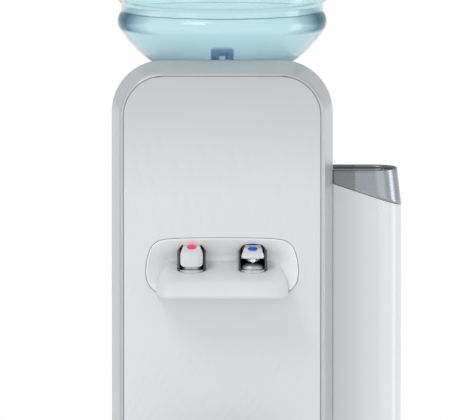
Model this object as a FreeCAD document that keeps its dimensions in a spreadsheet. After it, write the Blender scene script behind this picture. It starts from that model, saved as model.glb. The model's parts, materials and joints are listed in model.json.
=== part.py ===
import FreeCAD, Part
import math
import os
import Sketcher

# Top-load water cooler with an inverted bottle, millimetres, +Z up.
# The origin is on the floor under the bottle's axis, and the front faces -Y.

SIZES = {
    # cabinet
    "body_wide": 283, "frame_high": 970, "frame_corner": 67, "frame_deep": 62,
    "frame_inset": 13.5, "frame_wall": 2, "front_reach": 177, "back_reach": 145,
    "seam_gap": 0.4, "rest_gap": 0.3, "panel_thick": 3, "sheet_thick": 1.2,
    "side_inset": 1, "hem_wide": 14, "foot_high": 12, "foot_radius": 16,
    "foot_side": 100, "foot_front": 148, "foot_back": 112, "base_high": 46, "base_wall": 3,
    "base_toe": 5, "deck_drop": 30, "deck_corner": 60, "deck_wall": 3, "deck_skirt": 68,
    "bulkhead_thick": 2, "bulkhead_gap": 0.9, "bulkhead_rim": 27,
    # console
    "console_half": 97, "console_top": 747, "console_tall": 76.5, "console_corner": 24,
    "console_foot": 26, "console_deep": 25, "recess_deep": 22, "recess_draft": 13,
    "recess_drop": 25, "recess_foot": 20, "console_wall": 3, "console_rim": 1.2,
    "ledge_drop": 35, "ledge_half": 84, "ledge_reach": 61, "ledge_slope": 12,
    "ledge_flat": 50, "ledge_corner": 20, "nose_radius": 46, "nose_drop": 20.4,
    "lip_radius": 3.4, "under_rise": 3.5, "cut_reach": 400,
    # taps, from the point where the tap's axis meets the ledge
    "tap_spread": 39, "tap_radius": 18.5, "tap_setback": 5.5, "tap_high": 28.4,
    "tap_wall": 2.3, "tap_shoulder": 20, "tap_crown": 12.5, "tap_arch": 50, "cheek_gap": 15,
    "ring_drop": 1.2, "ring_deep": 9, "bonnet_radius": 13.1, "bonnet_high": 6.4,
    "bonnet_round": 4, "bonnet_roof": 3, "chamber_radius": 9, "seat_drop": 19, "seat_thick": 2,
    "throat_radius": 4.2, "body_drop": 33, "stem_radius": 2.5, "head_radius": 5.8,
    "head_low": 8, "flute_count": 10, "flute_radius": 0.9, "running_fit": 0.06,
    "pin_radius": 1.5, "pin_back": 9.5, "pin_level": 12, "pin_half": 15.6, "lever_half": 14.6,
    "lever_wall": 2.4, "lever_side": 2.4, "lever_bow": 59, "brow_round": 2, "lever_front": 17.8,
    "lever_sag": 8.4, "lever_flat": 4,
    "lever_brow": 1.4, "lever_back": 13, "lever_crown": 9.6, "lever_shoulder": 19,
    "lever_web": 3.2, "lever_hub": 3.2, "lug_front": 6.5, "lug_half": 7, "lug_rise": 2.5,
    "nub_half": 1.2, "lever_tail": 8.6, "lever_round": 5, "hot_top": 28.8, "hot_low": 3.1,
    "cold_top": 26.6, "cold_low": 13.6, "marker_radius": 6.2, "marker_thick": 1.4,
    "marker_back": 3, "marker_sink": 1.3, "marker_tilt": 14, "seal_radius": 6.6,
    "seal_thick": 2.6, "spring_radius": 4.6, "spring_wire": 0.45, "spring_pitch": 1.6,
    "plug_radius": 8.7, "plug_drop": 34.4, "plug_high": 2.7, "duct_half": 8, "duct_top": 19.5,
    "duct_low": 28.6, "duct_front": 32, "duct_bore": 3, "duct_drop": 24.6, "spout_front": 24,
    "spout_radius": 7, "spout_bore": 4.5, "spout_drop": 36.5, "spout_high": 7.6,
    "port_radius": 3.4, "port_drop": 15.4,
    # bottle and its seat
    "bottle_radius": 135.4, "bottle_groove": 130.2, "bottle_wall": 2.6, "bottle_tall": 490,
    "neck_radius": 27.5, "neck_wall": 2, "neck_long": 36, "neck_room": 12, "neck_flare": 34,
    "flare_rise": 11.5, "seat_radius": 70, "seat_rise": 61, "shoulder_radius": 115.3,
    "shoulder_rise": 90, "shoulder_bow": 85, "bead_low": 108.5, "bead_high": 25.5,
    "bead_round": 19.5, "groove_high": 16, "groove_round": 30, "band_high": 62, "band_round": 6.5,
    "band_count": 4, "base_round": 28, "cap_radius": 29.6, "cap_floor": 2.1, "cap_skirt": 32,
    "cap_fit": 0.05, "collar_radius": 74.3, "flange_radius": 84, "flange_thick": 3,
    "rim_wide": 4.5, "funnel_radius": 64, "well_radius": 33.5, "well_wall": 3,
    "well_deep": 17, "well_long": 46, "probe_radius": 15, "probe_bore": 11, "probe_rise": 86,
    "probe_flange": 24, "stub_radius": 12, "stub_dip": 5.7, "window_half": 4,
    "window_tall": 20, "window_drop": 6,
    # drip tray
    "shelf_half": 88, "shelf_reach": 98, "shelf_top": 470, "shelf_deep": 32,
    "shelf_corner": 26, "shelf_wall": 3, "tray_wall": 2, "tray_gap": 0.5,
    "grille_thick": 3, "slot_wide": 4, "slot_pitch": 9, "slot_count": 15, "slot_margin": 14,
    # cold side
    "shelf_front": 110, "shelf_back": 118, "shelf_hem": 20, "tank_clear": 29,
    "foam_floor": 25.4, "foam_radius": 104, "tank_radius": 78,
    "tank_wall": 1.2, "tank_high": 136, "lid_thick": 4, "coil_wire": 4, "coil_turns": 6,
    "coil_pitch": 16, "coil_rise": 14, "baffle_radius": 75, "baffle_rise": 80,
    "baffle_thick": 3, "stand_radius": 10, "stand_bore": 7,
    # hot side
    "boiler_radius": 48, "boiler_high": 108, "boiler_wall": 1.5, "boiler_mouth": 6,
    "band_thick": 3.2, "heater_high": 34, "heater_rise": 16, "jacket_thick": 12,
    "jacket_floor": 20, "hose_radius": 5, "hose_bore": 3.4, "hose_bend": 14,
    "hot_hose_back": 49, "hot_hose_rise": 75.7, "shelf_room": 20.2,
    # machine space
    "pot_radius": 58, "pot_high": 142, "pot_round": 14, "pot_crown": 34, "pot_back": 58,
    "mount_half": 66, "mount_deep": 52, "mount_thick": 2.5, "grommet_radius": 9,
    "grommet_high": 10, "drier_radius": 9, "drier_long": 92, "drier_low": 150,
    "line_radius": 3, "line_side": 100, "line_back": 128, "line_level": 120, "line_bend": 12,
    "line_inner": 60, "suction_rise": 55.7, "liquid_rise": 85.7, "condenser_half": 86,
    "condenser_low": 130, "condenser_pitch": 36, "condenser_rows": 17, "condenser_tube": 2.5,
    "condenser_gap": 8, "wire_radius": 0.9, "wire_count": 14, "wire_over": 12,
    "clip_radius": 4, "clip_side": 70, "bend_share": 0.98,
    # controls at the back
    "plate_level": 798, "plate_half": 44, "plate_tall": 18, "plate_thick": 3,
    "rocker_half": 9, "rocker_tall": 11, "rocker_deep": 4, "rocker_side": 20,
    "rocker_room": 1, "knob_radius": 15, "knob_thick": 11, "knob_bore": 7, "knob_level": 752,
    "knob_grip": 2, "shaft_radius": 3, "shaft_long": 6.5, "switch_half": 18, "switch_deep": 24,
    "switch_tall": 13, "drain_radius": 7, "drain_bore": 5, "drain_level": 92, "drain_side": 80,
    "drain_out": 13, "drain_in": 22, "drain_flange": 12, "cap_over": 3, "socket_half": 14,
    "socket_tall": 10, "socket_side": 88, "socket_level": 92, "socket_deep": 20,
    "socket_wall": 2, "socket_well": 14, "prong_long": 5, "prong_half": 1, "prong_step": 7,
    "louvre_long": 120, "louvre_tall": 3, "louvre_pitch": 9, "louvre_count": 9,
    "louvre_level": 838, "screw_radius": 2, "screw_head": 4, "screw_head_thick": 2.2,
    "screw_room": 0.2, "screw_long": 8, "screw_side": 124, "screw_low": 80, "screw_pitch": 250,
    # cup dispenser at the right side
    "cup_wide": 89.5, "cup_deep": 75, "cup_top": 827, "cup_long": 440, "cup_corner": 32,
    "cup_edge": 3, "cup_wall": 2.5, "cup_front": 105, "cap_left": 17, "cap_right": 47,
    "cap_taper": 5.3, "cap_wall": 2.5, "cup_bore": 32, "tube_wall": 1.5, "tube_below": 7,
    "tube_rise": 385, "dish_deep": 3, "dish_lip": 4, "retainer_bore": 29.5,
    "retainer_high": 12, "cup_screw_low": 480, "cup_screw_pitch": 220,
}


class Size:
    """A length that carries its number and its formula in the sheet."""

    def __init__(self, value, formula):
        self.value = value
        self.formula = formula

    def __add__(self, other):
        other = sized(other)
        return Size(self.value + other.value, f"({self.formula} + {other.formula})")

    def __sub__(self, other):
        other = sized(other)
        return Size(self.value - other.value, f"({self.formula} - {other.formula})")

    def __mul__(self, other):
        other = sized(other)
        return Size(self.value * other.value, f"({self.formula} * {other.formula})")

    def __truediv__(self, other):
        other = sized(other)
        return Size(self.value / other.value, f"({self.formula} / {other.formula})")

    def __radd__(self, other):
        return sized(other) + self

    def __rsub__(self, other):
        return sized(other) - self

    def __rmul__(self, other):
        return sized(other) * self

    def __neg__(self):
        return sized(0) - self

    def __float__(self):
        return float(self.value)


def sized(value):
    return value if isinstance(value, Size) else Size(float(value), f"{float(value):.6f}")


def root(size):
    return Size(math.sqrt(size.value), f"sqrt({size.formula})")


def slope(angle):
    return Size(math.tan(math.radians(angle.value)), f"tan({angle.formula})")


doc = FreeCAD.newDocument("water_cooler")
sheet = doc.addObject("Spreadsheet::Sheet", "dims")
for row, (alias, number) in enumerate(SIZES.items(), start=1):
    sheet.set(f"A{row}", alias)
    sheet.set(f"B{row}", str(number))
    sheet.setAlias(f"B{row}", alias)
doc.recompute()


class Dims:
    """Reads a size of the sheet by its alias."""

    def __getattr__(self, alias):
        return Size(float(SIZES[alias]), f"dims.{alias}")


d = Dims()
nodes = []


def bind(thing, prop, size):
    thing.setExpression(prop, sized(size).formula)


def node(thing, label):
    thing.Label = label
    nodes.append(thing)
    return thing


def place(thing, x=0, y=0, z=0):
    for axis, size in zip("xyz", (x, y, z)):
        bind(thing, f"Placement.Base.{axis}", size)
    return thing


# ---- sketches -------------------------------------------------------------

def body(name):
    return doc.addObject("PartDesign::Body", name)


def plane(of, role):
    return next(f for f in of.Origin.OriginFeatures if f.Role == role)


def sketch(of, role, loops, offset=0):
    """A sketch on an origin plane: XY looks down, XZ faces the front, YZ the right."""
    drawn = of.newObject("Sketcher::SketchObject", of.Name + "_sketch")
    drawn.AttachmentSupport = [(plane(of, role), "")]
    drawn.MapMode = "FlatFace"
    bind(drawn, "AttachmentOffset.Base.z", offset)
    for loop in loops:
        draw(drawn, loop)
    doc.recompute()
    return drawn


def draw(drawn, loop):
    """A circle is (x, y, radius); an outline is a list of points, each with the radius of
    the arc that leaves it, above zero where it turns left."""
    if isinstance(loop, tuple):
        circle(drawn, *loop)
        return
    points = [tuple(sized(part) for part in point) for point in loop]
    firsts = []
    for index, point in enumerate(points):
        following = points[(index + 1) % len(points)]
        start = FreeCAD.Vector(float(point[0]), float(point[1]), 0)
        end = FreeCAD.Vector(float(following[0]), float(following[1]), 0)
        if len(point) == 2:
            geometry = drawn.addGeometry(Part.LineSegment(start, end))
            firsts.append((geometry, 1, 2))
            continue
        radius = float(point[2])
        chord = end - start
        left = FreeCAD.Vector(-chord.y, chord.x, 0).normalize()
        rise = math.sqrt(max(radius * radius - chord.Length ** 2 / 4, 0))
        centre = (start + end) / 2 + left * (rise if radius > 0 else -rise)
        angles = [math.atan2(p.y - centre.y, p.x - centre.x) for p in (start, end)]
        if radius < 0:
            angles.reverse()
        ring = Part.Circle(centre, FreeCAD.Vector(0, 0, 1), abs(radius))
        geometry = drawn.addGeometry(Part.ArcOfCircle(ring, angles[0], angles[1]))
        firsts.append((geometry, 1, 2) if radius > 0 else (geometry, 2, 1))
        limit(drawn, "Radius", (geometry,), point[2] if radius > 0 else -point[2])
    for index, (geometry, first, last) in enumerate(firsts):
        following = firsts[(index + 1) % len(firsts)]
        drawn.addConstraint(Sketcher.Constraint("Coincident", geometry, last,
                                                following[0], following[1]))
        limit(drawn, "DistanceX", (-1, 1, geometry, first), points[index][0])
        limit(drawn, "DistanceY", (-1, 1, geometry, first), points[index][1])


def circle(drawn, x, y, radius):
    x, y, radius = sized(x), sized(y), sized(radius)
    centre = FreeCAD.Vector(float(x), float(y), 0)
    geometry = drawn.addGeometry(Part.Circle(centre, FreeCAD.Vector(0, 0, 1), float(radius)))
    limit(drawn, "Radius", (geometry,), radius)
    limit(drawn, "DistanceX", (-1, 1, geometry, 3), x)
    limit(drawn, "DistanceY", (-1, 1, geometry, 3), y)


def limit(drawn, kind, where, size):
    index = drawn.addConstraint(Sketcher.Constraint(kind, *where, float(size)))
    drawn.setExpression(f"Constraints[{index}]", size.formula)


def arch(half, low, high, corner):
    """An arch outline: a flat foot, two upright sides and two rounded top corners."""
    return [(-half, low), (half, low), (half, high - corner, corner),
            (half - corner, high), (corner - half, high, corner), (-half, high - corner)]


def rounded(left, right, low, high, bottom, top):
    """A rectangle with one radius for its lower corners and one for its upper ones."""
    return [(left + bottom, low), (right - bottom, low, bottom), (right, low + bottom),
            (right, high - top, top), (right - top, high), (left + top, high, top),
            (left, high - top), (left, low + bottom, bottom)]


def block(left, right, low, high):
    return [(left, low), (right, low), (right, high), (left, high)]


# ---- features -------------------------------------------------------------

def pad(of, role, loops, length, offset=0, middle=False):
    made = of.newObject("PartDesign::Pad", of.Name + "_pad")
    made.Profile = sketch(of, role, loops, offset)
    made.Midplane = middle
    bind(made, "Length", length)
    doc.recompute()
    return made


def pocket(of, role, loops, length=None, offset=0, middle=False, forward=False):
    """Cuts against the plane's normal, or along it where forward is set."""
    before = of.Shape.Volume
    made = of.newObject("PartDesign::Pocket", of.Name + "_pocket")
    made.Profile = sketch(of, role, loops, offset)
    made.Midplane = middle
    made.Reversed = forward
    if length is None:
        made.Type = "ThroughAll"
    else:
        bind(made, "Length", length)
    doc.recompute()
    if not made.Shape.Volume < before:
        raise RuntimeError(f"{of.Name}: a pocket cuts nothing")
    return made


def trim(of, role, outline, margin):
    """Keeps only what lies inside the outline."""
    return pocket(of, role, [block(-margin, margin, -margin, margin), outline],
                  margin * 4, middle=True)


def revolve(of, loops):
    """A profile of (radius, height) turned about the vertical axis."""
    made = of.newObject("PartDesign::Revolution", of.Name + "_turned")
    drawn = sketch(of, "XZ_Plane", loops)
    made.Profile = drawn
    made.ReferenceAxis = (drawn, ["V_Axis"])
    made.Angle = 360
    doc.recompute()
    return made


def loft(of, role, sections, additive=True):
    """A straight-sided loft through (outline, offset) sections."""
    kind = "PartDesign::AdditiveLoft" if additive else "PartDesign::SubtractiveLoft"
    drawn = [sketch(of, role, [outline], offset) for outline, offset in sections]
    made = of.newObject(kind, of.Name + "_loft")
    made.Profile = drawn[0]
    made.Sections = drawn[1:]
    made.Ruled = True
    doc.recompute()
    return made


def cylinder(name, radius, length, x=0, y=0, z=0, along="z"):
    made = doc.addObject("Part::Cylinder", name)
    bind(made, "Radius", radius)
    bind(made, "Height", length)
    turns = {"x": FreeCAD.Rotation(FreeCAD.Vector(0, 1, 0), 90),
             "y": FreeCAD.Rotation(FreeCAD.Vector(1, 0, 0), -90), "z": FreeCAD.Rotation()}
    made.Placement = FreeCAD.Placement(FreeCAD.Vector(), turns[along])
    return place(made, x, y, z)


def box(name, left, right, front, back, low, high):
    made = doc.addObject("Part::Box", name)
    bind(made, "Length", right - left)
    bind(made, "Width", back - front)
    bind(made, "Height", high - low)
    return place(made, left, front, low)


def cut(name, base, *tools):
    for tool in tools:
        made = doc.addObject("Part::Cut", name)
        made.Base = base
        made.Tool = tool
        base = made
    return base


def fuse(name, *shapes):
    made = doc.addObject("Part::MultiFuse", name)
    made.Shapes = list(shapes)
    return made


def group(name, *shapes):
    made = doc.addObject("Part::Compound", name)
    made.Links = list(shapes)
    return made


def path_pipe(name, points, radius, bore, bend):
    """A tube along straight runs joined by tangent arcs, from (x, y, z) corner points."""
    corners = [FreeCAD.Vector(*(float(sized(part)) for part in point)) for point in points]
    radius, bore, bend = float(radius), float(bore), float(bend)
    edges = []
    start = corners[0]
    for before, corner, after in zip(corners, corners[1:], corners[2:]):
        back = (before - corner).normalize()
        ahead = (after - corner).normalize()
        half = back.getAngle(ahead) / 2
        reach = bend / math.tan(half)
        middle = (back + ahead).normalize() * (bend / math.sin(half) - bend)
        edges.append(Part.LineSegment(start, corner + back * reach).toShape())
        arc = Part.Arc(corner + back * reach, corner + middle, corner + ahead * reach)
        edges.append(arc.toShape())
        start = corner + ahead * reach
    edges.append(Part.LineSegment(start, corners[-1]).toShape())
    wire = Part.Wire(edges)
    heading = corners[1] - corners[0]
    solids = []
    for size in (radius, bore):
        if size:
            ring = Part.Wire(Part.makeCircle(size, corners[0], heading))
            solids.append(wire.makePipeShell([ring], True, False))
    made = doc.addObject("Part::Feature", name)
    made.Shape = solids[0].cut(solids[1]) if bore else solids[0]
    return made


# ---- levels and planes that several pieces share ----------------------------

half_body = d.body_wide / 2
frame_back = d.front_reach - d.frame_deep
panel_inset = d.frame_inset + d.frame_wall + d.seam_gap
side_half = half_body - d.side_inset
side_inner = side_half - d.sheet_thick
deck_top = d.frame_high - d.deck_drop
deck_low = deck_top - d.deck_skirt
base_top = d.foot_high + d.base_high
back_skin = d.back_reach - d.sheet_thick
deck_back = back_skin - d.rest_gap
console_low = d.console_top - d.console_tall
recess_back = d.recess_deep - d.front_reach
ledge_level = d.console_top - d.ledge_drop
ledge_fall = slope(d.ledge_slope)
tap_y = d.tap_setback - d.front_reach
tap_z = ledge_level - (d.recess_deep - d.tap_setback) * ledge_fall
neck_low = deck_top - d.neck_long - d.flange_thick - d.neck_room
neck_join = neck_low + d.neck_long
seat_level = neck_low + d.seat_rise
well_floor = neck_low - d.well_deep
lid_top = well_floor - d.well_wall - d.tank_clear
tank_top = lid_top - d.lid_thick - d.rest_gap
tank_low = tank_top - d.tank_high
foam_low = tank_low - d.foam_floor
upper_level = foam_low - d.rest_gap
boiler_top = upper_level - d.sheet_thick - d.shelf_room
boiler_low = boiler_top - d.boiler_high
jacket_low = boiler_low - d.rest_gap - d.jacket_floor
lower_level = jacket_low - d.rest_gap
heater_outer = d.boiler_radius + d.band_thick
jacket_bore = heater_outer + d.rest_gap
cup_left = side_half + d.rest_gap
cup_right = cup_left + d.cup_wide
cup_back = d.cup_deep - d.cup_front
cup_middle_x = (cup_left + cup_right) / 2
cup_middle_y = cup_back - d.cup_deep / 2
cup_low = d.cup_top - d.cup_long
grommet_low = d.foot_high + d.base_wall
mount_low = grommet_low + d.grommet_high
pot_low = mount_low + d.mount_thick
far = d.cut_reach


# ---- cabinet ----------------------------------------------------------------

def frame_arch(inset, low):
    return arch(half_body - inset, low, d.frame_high - inset, d.frame_corner - inset)


def arch_frame():
    made = body("arch_frame")
    low = d.foot_high
    loft(made, "XZ_Plane", [(frame_arch(0, low), frame_back),
                            (frame_arch(d.frame_inset, low), d.front_reach)])
    under = low - d.frame_wall
    loft(made, "XZ_Plane", [(frame_arch(d.frame_wall, under), frame_back),
                            (frame_arch(d.frame_inset + d.frame_wall, under), d.front_reach)],
         additive=False)
    node(made, "arch_frame")


def console_outline(grow):
    return rounded(-d.console_half - grow, d.console_half + grow, console_low - grow,
                   d.console_top + grow, d.console_foot + grow, d.console_corner + grow)


def front_panel():
    made = body("front_panel")
    pad(made, "XZ_Plane", [frame_arch(panel_inset, d.foot_high), console_outline(d.seam_gap)],
        d.panel_thick, d.front_reach - d.panel_thick)
    node(made, "front_panel")


def bulkhead():
    """The plate behind the arch frame that closes it above the deck."""
    made = body("bulkhead")
    inset = d.frame_wall + d.bulkhead_gap
    outer = arch(half_body - inset, base_top + d.rest_gap, d.frame_high - inset,
                 d.frame_corner - inset)
    window = block(d.bulkhead_rim - half_body, half_body - d.bulkhead_rim,
                   base_top + d.bulkhead_rim, deck_low)
    pad(made, "XZ_Plane", [outer, window], d.bulkhead_thick, frame_back)
    node(made, "bulkhead")


def side_panel(label, side):
    """A folded sheet with a hem at its front and back edges."""
    made = body(label)
    front = d.rest_gap - frame_back
    outer, inner, hem = side_half, side_inner, side_half - d.hem_wide
    points = [(outer, front), (outer, deck_back), (hem, deck_back),
              (hem, deck_back - d.sheet_thick), (inner, deck_back - d.sheet_thick),
              (inner, front + d.sheet_thick), (hem, front + d.sheet_thick), (hem, front)]
    pad(made, "XY_Plane", [[(x * side, y) for x, y in points]],
        deck_low - d.rest_gap - d.foot_high, d.foot_high)
    if side > 0:
        pocket(made, "YZ_Plane", [(cup_middle_y, z, d.screw_radius + d.screw_room)
                                  for z in cup_screw_levels()], forward=True)
    node(made, label)


def top_deck():
    made = body("top_deck")
    long = deck_back - d.rest_gap + frame_back
    pad(made, "XZ_Plane", [arch(side_half, deck_low, deck_top, d.deck_corner)], long, -deck_back)
    wall = d.deck_wall
    pocket(made, "XZ_Plane", [arch(side_half - wall, deck_low - wall, deck_top - wall,
                                   d.deck_corner - wall)], far * 2, middle=True)
    pocket(made, "XY_Plane", [(0, 0, d.collar_radius + d.rest_gap)], wall * 2,
           offset=deck_top + wall / 2)
    node(made, "top_deck")


def back_panel():
    made = body("back_panel")
    louvres = [block(-d.louvre_long / 2, d.louvre_long / 2, level, level + d.louvre_tall)
               for level in (d.louvre_level + d.louvre_pitch * row
                             for row in range(SIZES["louvre_count"]))]
    window, room = d.plate_half - d.rocker_half, d.rocker_tall + d.rocker_room
    holes = [block(-window, window, d.plate_level - room, d.plate_level + room),
             (0, d.knob_level, d.shaft_radius + d.rest_gap),
              (-d.drain_side, d.drain_level, d.drain_radius + d.rest_gap),
              block(d.socket_side - d.socket_half - d.rest_gap,
                    d.socket_side + d.socket_half + d.rest_gap,
                    d.socket_level - d.socket_tall - d.rest_gap,
                    d.socket_level + d.socket_tall + d.rest_gap)]
    holes += [(-x, z, d.screw_radius + d.screw_room) for x, z in back_screws()]
    outer = arch(side_half, base_top + d.rest_gap, deck_top, d.deck_corner)
    pad(made, "XZ_Plane", [outer] + holes + louvres, d.sheet_thick, -d.back_reach)
    node(made, "back_panel")


def back_screws():
    levels = [d.screw_low + d.screw_pitch * row for row in range(4)]
    return [(side * d.screw_side, level) for side in (-1, 1) for level in levels]


def base_tray():
    made = body("base_tray")
    wide, narrow = side_inner - d.rest_gap, half_body - panel_inset - d.frame_wall
    front = d.base_toe - d.front_reach + d.panel_thick
    step = d.rest_gap * 2 + d.sheet_thick - frame_back
    back = deck_back - d.sheet_thick - d.rest_gap

    def plan(wall):
        return [(wall - narrow, front + wall), (narrow - wall, front + wall),
                (narrow - wall, step + wall), (wide - wall, step + wall),
                (wide - wall, back - wall), (wall - wide, back - wall),
                (wall - wide, step + wall), (wall - narrow, step + wall)]
    pad(made, "XY_Plane", [plan(0)], d.base_high, d.foot_high)
    pocket(made, "XY_Plane", [plan(d.base_wall)], d.base_high - d.base_wall, base_top)
    node(made, "base_tray")


def feet():
    spots = [(side * d.foot_side, y) for side in (-1, 1) for y in (-d.foot_front, d.foot_back)]
    made = [cylinder(f"foot_{index}", d.foot_radius, d.foot_high, x, y)
            for index, (x, y) in enumerate(spots)]
    node(group("rubber_feet", *made), "rubber_feet")


# ---- console ----------------------------------------------------------------

def corner(x, y, radius, side):
    """The bit outside a rounded front corner, side 1 at the right and -1 at the left."""
    over = d.lip_radius
    if side > 0:
        return [(x - radius, y - over), (x + over, y - over), (x + over, y + radius),
                (x, y + radius, -radius), (x - radius, y)]
    return [(-x - over, y - over), (radius - x, y - over), (radius - x, y, -radius),
            (-x, y + radius), (-x - over, y + radius)]


def console():
    made = body("console")
    wall, front = d.console_wall, d.front_reach
    pad(made, "XZ_Plane", [console_outline(0)], d.console_deep, front - d.console_deep)
    rim = d.console_rim
    mouth = rounded(rim - d.console_half, d.console_half - rim, console_low + rim,
                    d.console_top - rim, d.console_foot - rim, d.console_corner - rim)
    inner = d.console_half - d.recess_draft
    floor = rounded(-inner, inner, console_low + wall, d.console_top - d.recess_drop,
                    d.recess_foot, d.recess_foot)
    loft(made, "XZ_Plane", [(mouth, front), (floor, front - d.recess_deep)], additive=False)
    flat_end = recess_back - d.ledge_flat
    flat_low = ledge_level - d.ledge_flat * ledge_fall
    tip = -front - d.ledge_reach
    lip = flat_low - d.nose_drop
    under = lip - d.lip_radius
    back_low = under - d.under_rise
    pad(made, "YZ_Plane", [[(recess_back, ledge_level), (flat_end, flat_low, d.nose_radius),
                            (tip, lip, d.lip_radius), (tip + d.lip_radius, under),
                            (recess_back, back_low)]], d.ledge_half * 2, middle=True)
    behind = recess_back + wall + rim
    rise = (wall + rim) * ledge_fall
    pocket(made, "YZ_Plane", [[(behind, ledge_level + rise - wall), (flat_end, flat_low - wall),
                               (tip + wall * 3, lip + wall), (tip + wall * 3, under + wall),
                               (behind, back_low + wall)]],
           (d.ledge_half - wall) * 2, middle=True)
    corners = [corner(d.ledge_half, tip, d.ledge_corner, side) for side in (1, -1)]
    pocket(made, "XY_Plane", corners, far, ledge_level + far / 4)
    taps = [(side * d.tap_spread, tap_y) for side in (-1, 1)]
    pocket(made, "XY_Plane", [(x, y, d.bonnet_radius + d.rest_gap) for x, y in taps],
           d.console_tall, tap_z)
    crown = d.tap_high + d.lever_brow * 2 + d.rest_gap
    pocket(made, "XY_Plane", [(x, y, d.tap_radius + d.rest_gap) for x, y in taps],
           crown + d.ring_deep + d.ring_drop, tap_z + crown)
    pocket(made, "XY_Plane", [(x, y - d.spout_front, d.spout_radius + d.rest_gap)
                              for x, y in taps], d.console_tall, tap_z - d.duct_low)
    node(made, "console")


# ---- taps -------------------------------------------------------------------

def tap_place(thing, side):
    return place(thing, side * d.tap_spread, tap_y, tap_z)


def tap_housing(name, side):
    """The dark cheeks and back wall around the lever, open at the front and top."""
    made = body(f"{name}_housing")
    low = -d.ring_drop + d.rest_gap / 3
    bore = d.tap_radius - d.tap_wall
    crown = d.tap_high
    pad(made, "XY_Plane", [(0, 0, d.tap_radius), (0, 0, bore)],
        crown + d.lever_brow * 2 - low, low)
    gap = d.cheek_gap
    pocket(made, "XY_Plane", [block(-gap, gap, -d.tap_radius * 1.5, 0)], far, far / 2)
    over = d.tap_radius + d.lever_brow
    trim(made, "XZ_Plane", [(-over, low - 1), (over, low - 1), (over, d.tap_shoulder),
                            (d.tap_crown, crown, d.tap_arch), (-d.tap_crown, crown),
                            (-over, d.tap_shoulder)], far / 4)
    pocket(made, "YZ_Plane", [(d.pin_back, d.pin_level, d.pin_radius)], far, middle=True)
    return tap_place(made, side)


def tap_body(name, side):
    """The valve body: a ring in the ledge, a domed bonnet above and the chamber below."""
    made = body(f"{name}_valve_body")
    ring, foot = -d.ring_drop, -d.body_drop
    dome, eye = d.bonnet_round, d.stem_radius + d.running_fit
    bonnet, room = d.bonnet_radius, d.chamber_radius
    revolve(made, [[(room, foot), (bonnet, foot), (bonnet, ring - d.ring_deep),
                    (d.tap_radius, ring - d.ring_deep), (d.tap_radius, ring), (bonnet, ring),
                    (bonnet, d.bonnet_high - dome, dome), (bonnet - dome, d.bonnet_high),
                    (eye, d.bonnet_high), (eye, d.bonnet_high - d.bonnet_roof),
                    (room, d.bonnet_high - d.bonnet_roof), (room, -d.seat_drop),
                    (d.throat_radius, -d.seat_drop), (d.throat_radius, -d.seat_drop - d.seat_thick),
                    (room, -d.seat_drop - d.seat_thick)]])
    pocket(made, "XZ_Plane", [(0, -d.port_drop, d.port_radius)], d.tap_radius)
    inner = room + (bonnet - room) / 2
    pad(made, "XY_Plane", [block(-d.duct_half, d.duct_half, -d.duct_front, -inner)],
        d.duct_low - d.duct_top, -d.duct_low)
    pocket(made, "XZ_Plane", [(0, -d.duct_drop, d.duct_bore)], d.spout_front, forward=True)
    pocket(made, "XY_Plane", [(0, -d.spout_front, d.spout_bore)], d.duct_low - d.duct_drop,
           -d.duct_drop)
    return tap_place(made, side)


def seal_top():
    return -d.seat_drop - d.seat_thick - d.rest_gap


def tap_stem(name, side):
    """The stem with its fluted head and the seal moulded on its foot."""
    made = body(f"{name}_stem")
    low = seal_top() - d.seal_thick
    pad(made, "XY_Plane", [(0, 0, d.stem_radius)], d.head_low - low, low)
    pad(made, "XY_Plane", [(0, 0, d.seal_radius)], d.seal_thick, low)
    flutes = SIZES["flute_count"]
    head = d.pin_level - d.rest_gap - d.head_low
    pad(made, "XY_Plane", [(0, 0, d.head_radius)], head, d.head_low)
    notch = pocket(made, "XY_Plane", [(0, -d.head_radius, d.flute_radius)], head * 2,
                   d.pin_level)
    ring = made.newObject("PartDesign::PolarPattern", f"{name}_flutes")
    ring.Originals = [notch]
    ring.Axis = (notch.Profile[0], ["N_Axis"])
    ring.Angle = 360
    ring.Occurrences = flutes
    made.Tip = ring
    node(tap_place(made, side), f"{name}_stem")


def tap_spring(name, side):
    low = d.plug_high - d.plug_drop + d.spring_wire + d.running_fit
    high = seal_top() - d.seal_thick - d.spring_wire - d.running_fit
    path = doc.addObject("Part::Helix", f"{name}_spring_path")
    bind(path, "Pitch", d.spring_pitch)
    bind(path, "Height", high - low)
    bind(path, "Radius", d.spring_radius)
    doc.recompute()
    ring = Part.Wire(Part.makeCircle(float(d.spring_wire),
                                     FreeCAD.Vector(float(d.spring_radius), 0, 0),
                                     FreeCAD.Vector(0, 1, 0)))
    made = doc.addObject("Part::Feature", f"{name}_spring")
    made.Shape = Part.Wire(path.Shape.Edges).makePipeShell([ring], True, True)
    place(made, side * d.tap_spread, tap_y, tap_z + low)
    node(made, f"{name}_spring")


def tap_plug(name, side):
    """The disc that closes the chamber and carries the spring."""
    made = body(f"{name}_plug")
    pad(made, "XY_Plane", [(0, 0, d.plug_radius)], d.plug_high, -d.plug_drop)
    return tap_place(made, side)


def tap_spout(name, side):
    made = body(f"{name}_spout")
    pad(made, "XY_Plane", [(0, -d.spout_front, d.spout_radius),
                           (0, -d.spout_front, d.spout_bore)], d.spout_high, -d.spout_drop)
    return tap_place(made, side)


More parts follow.
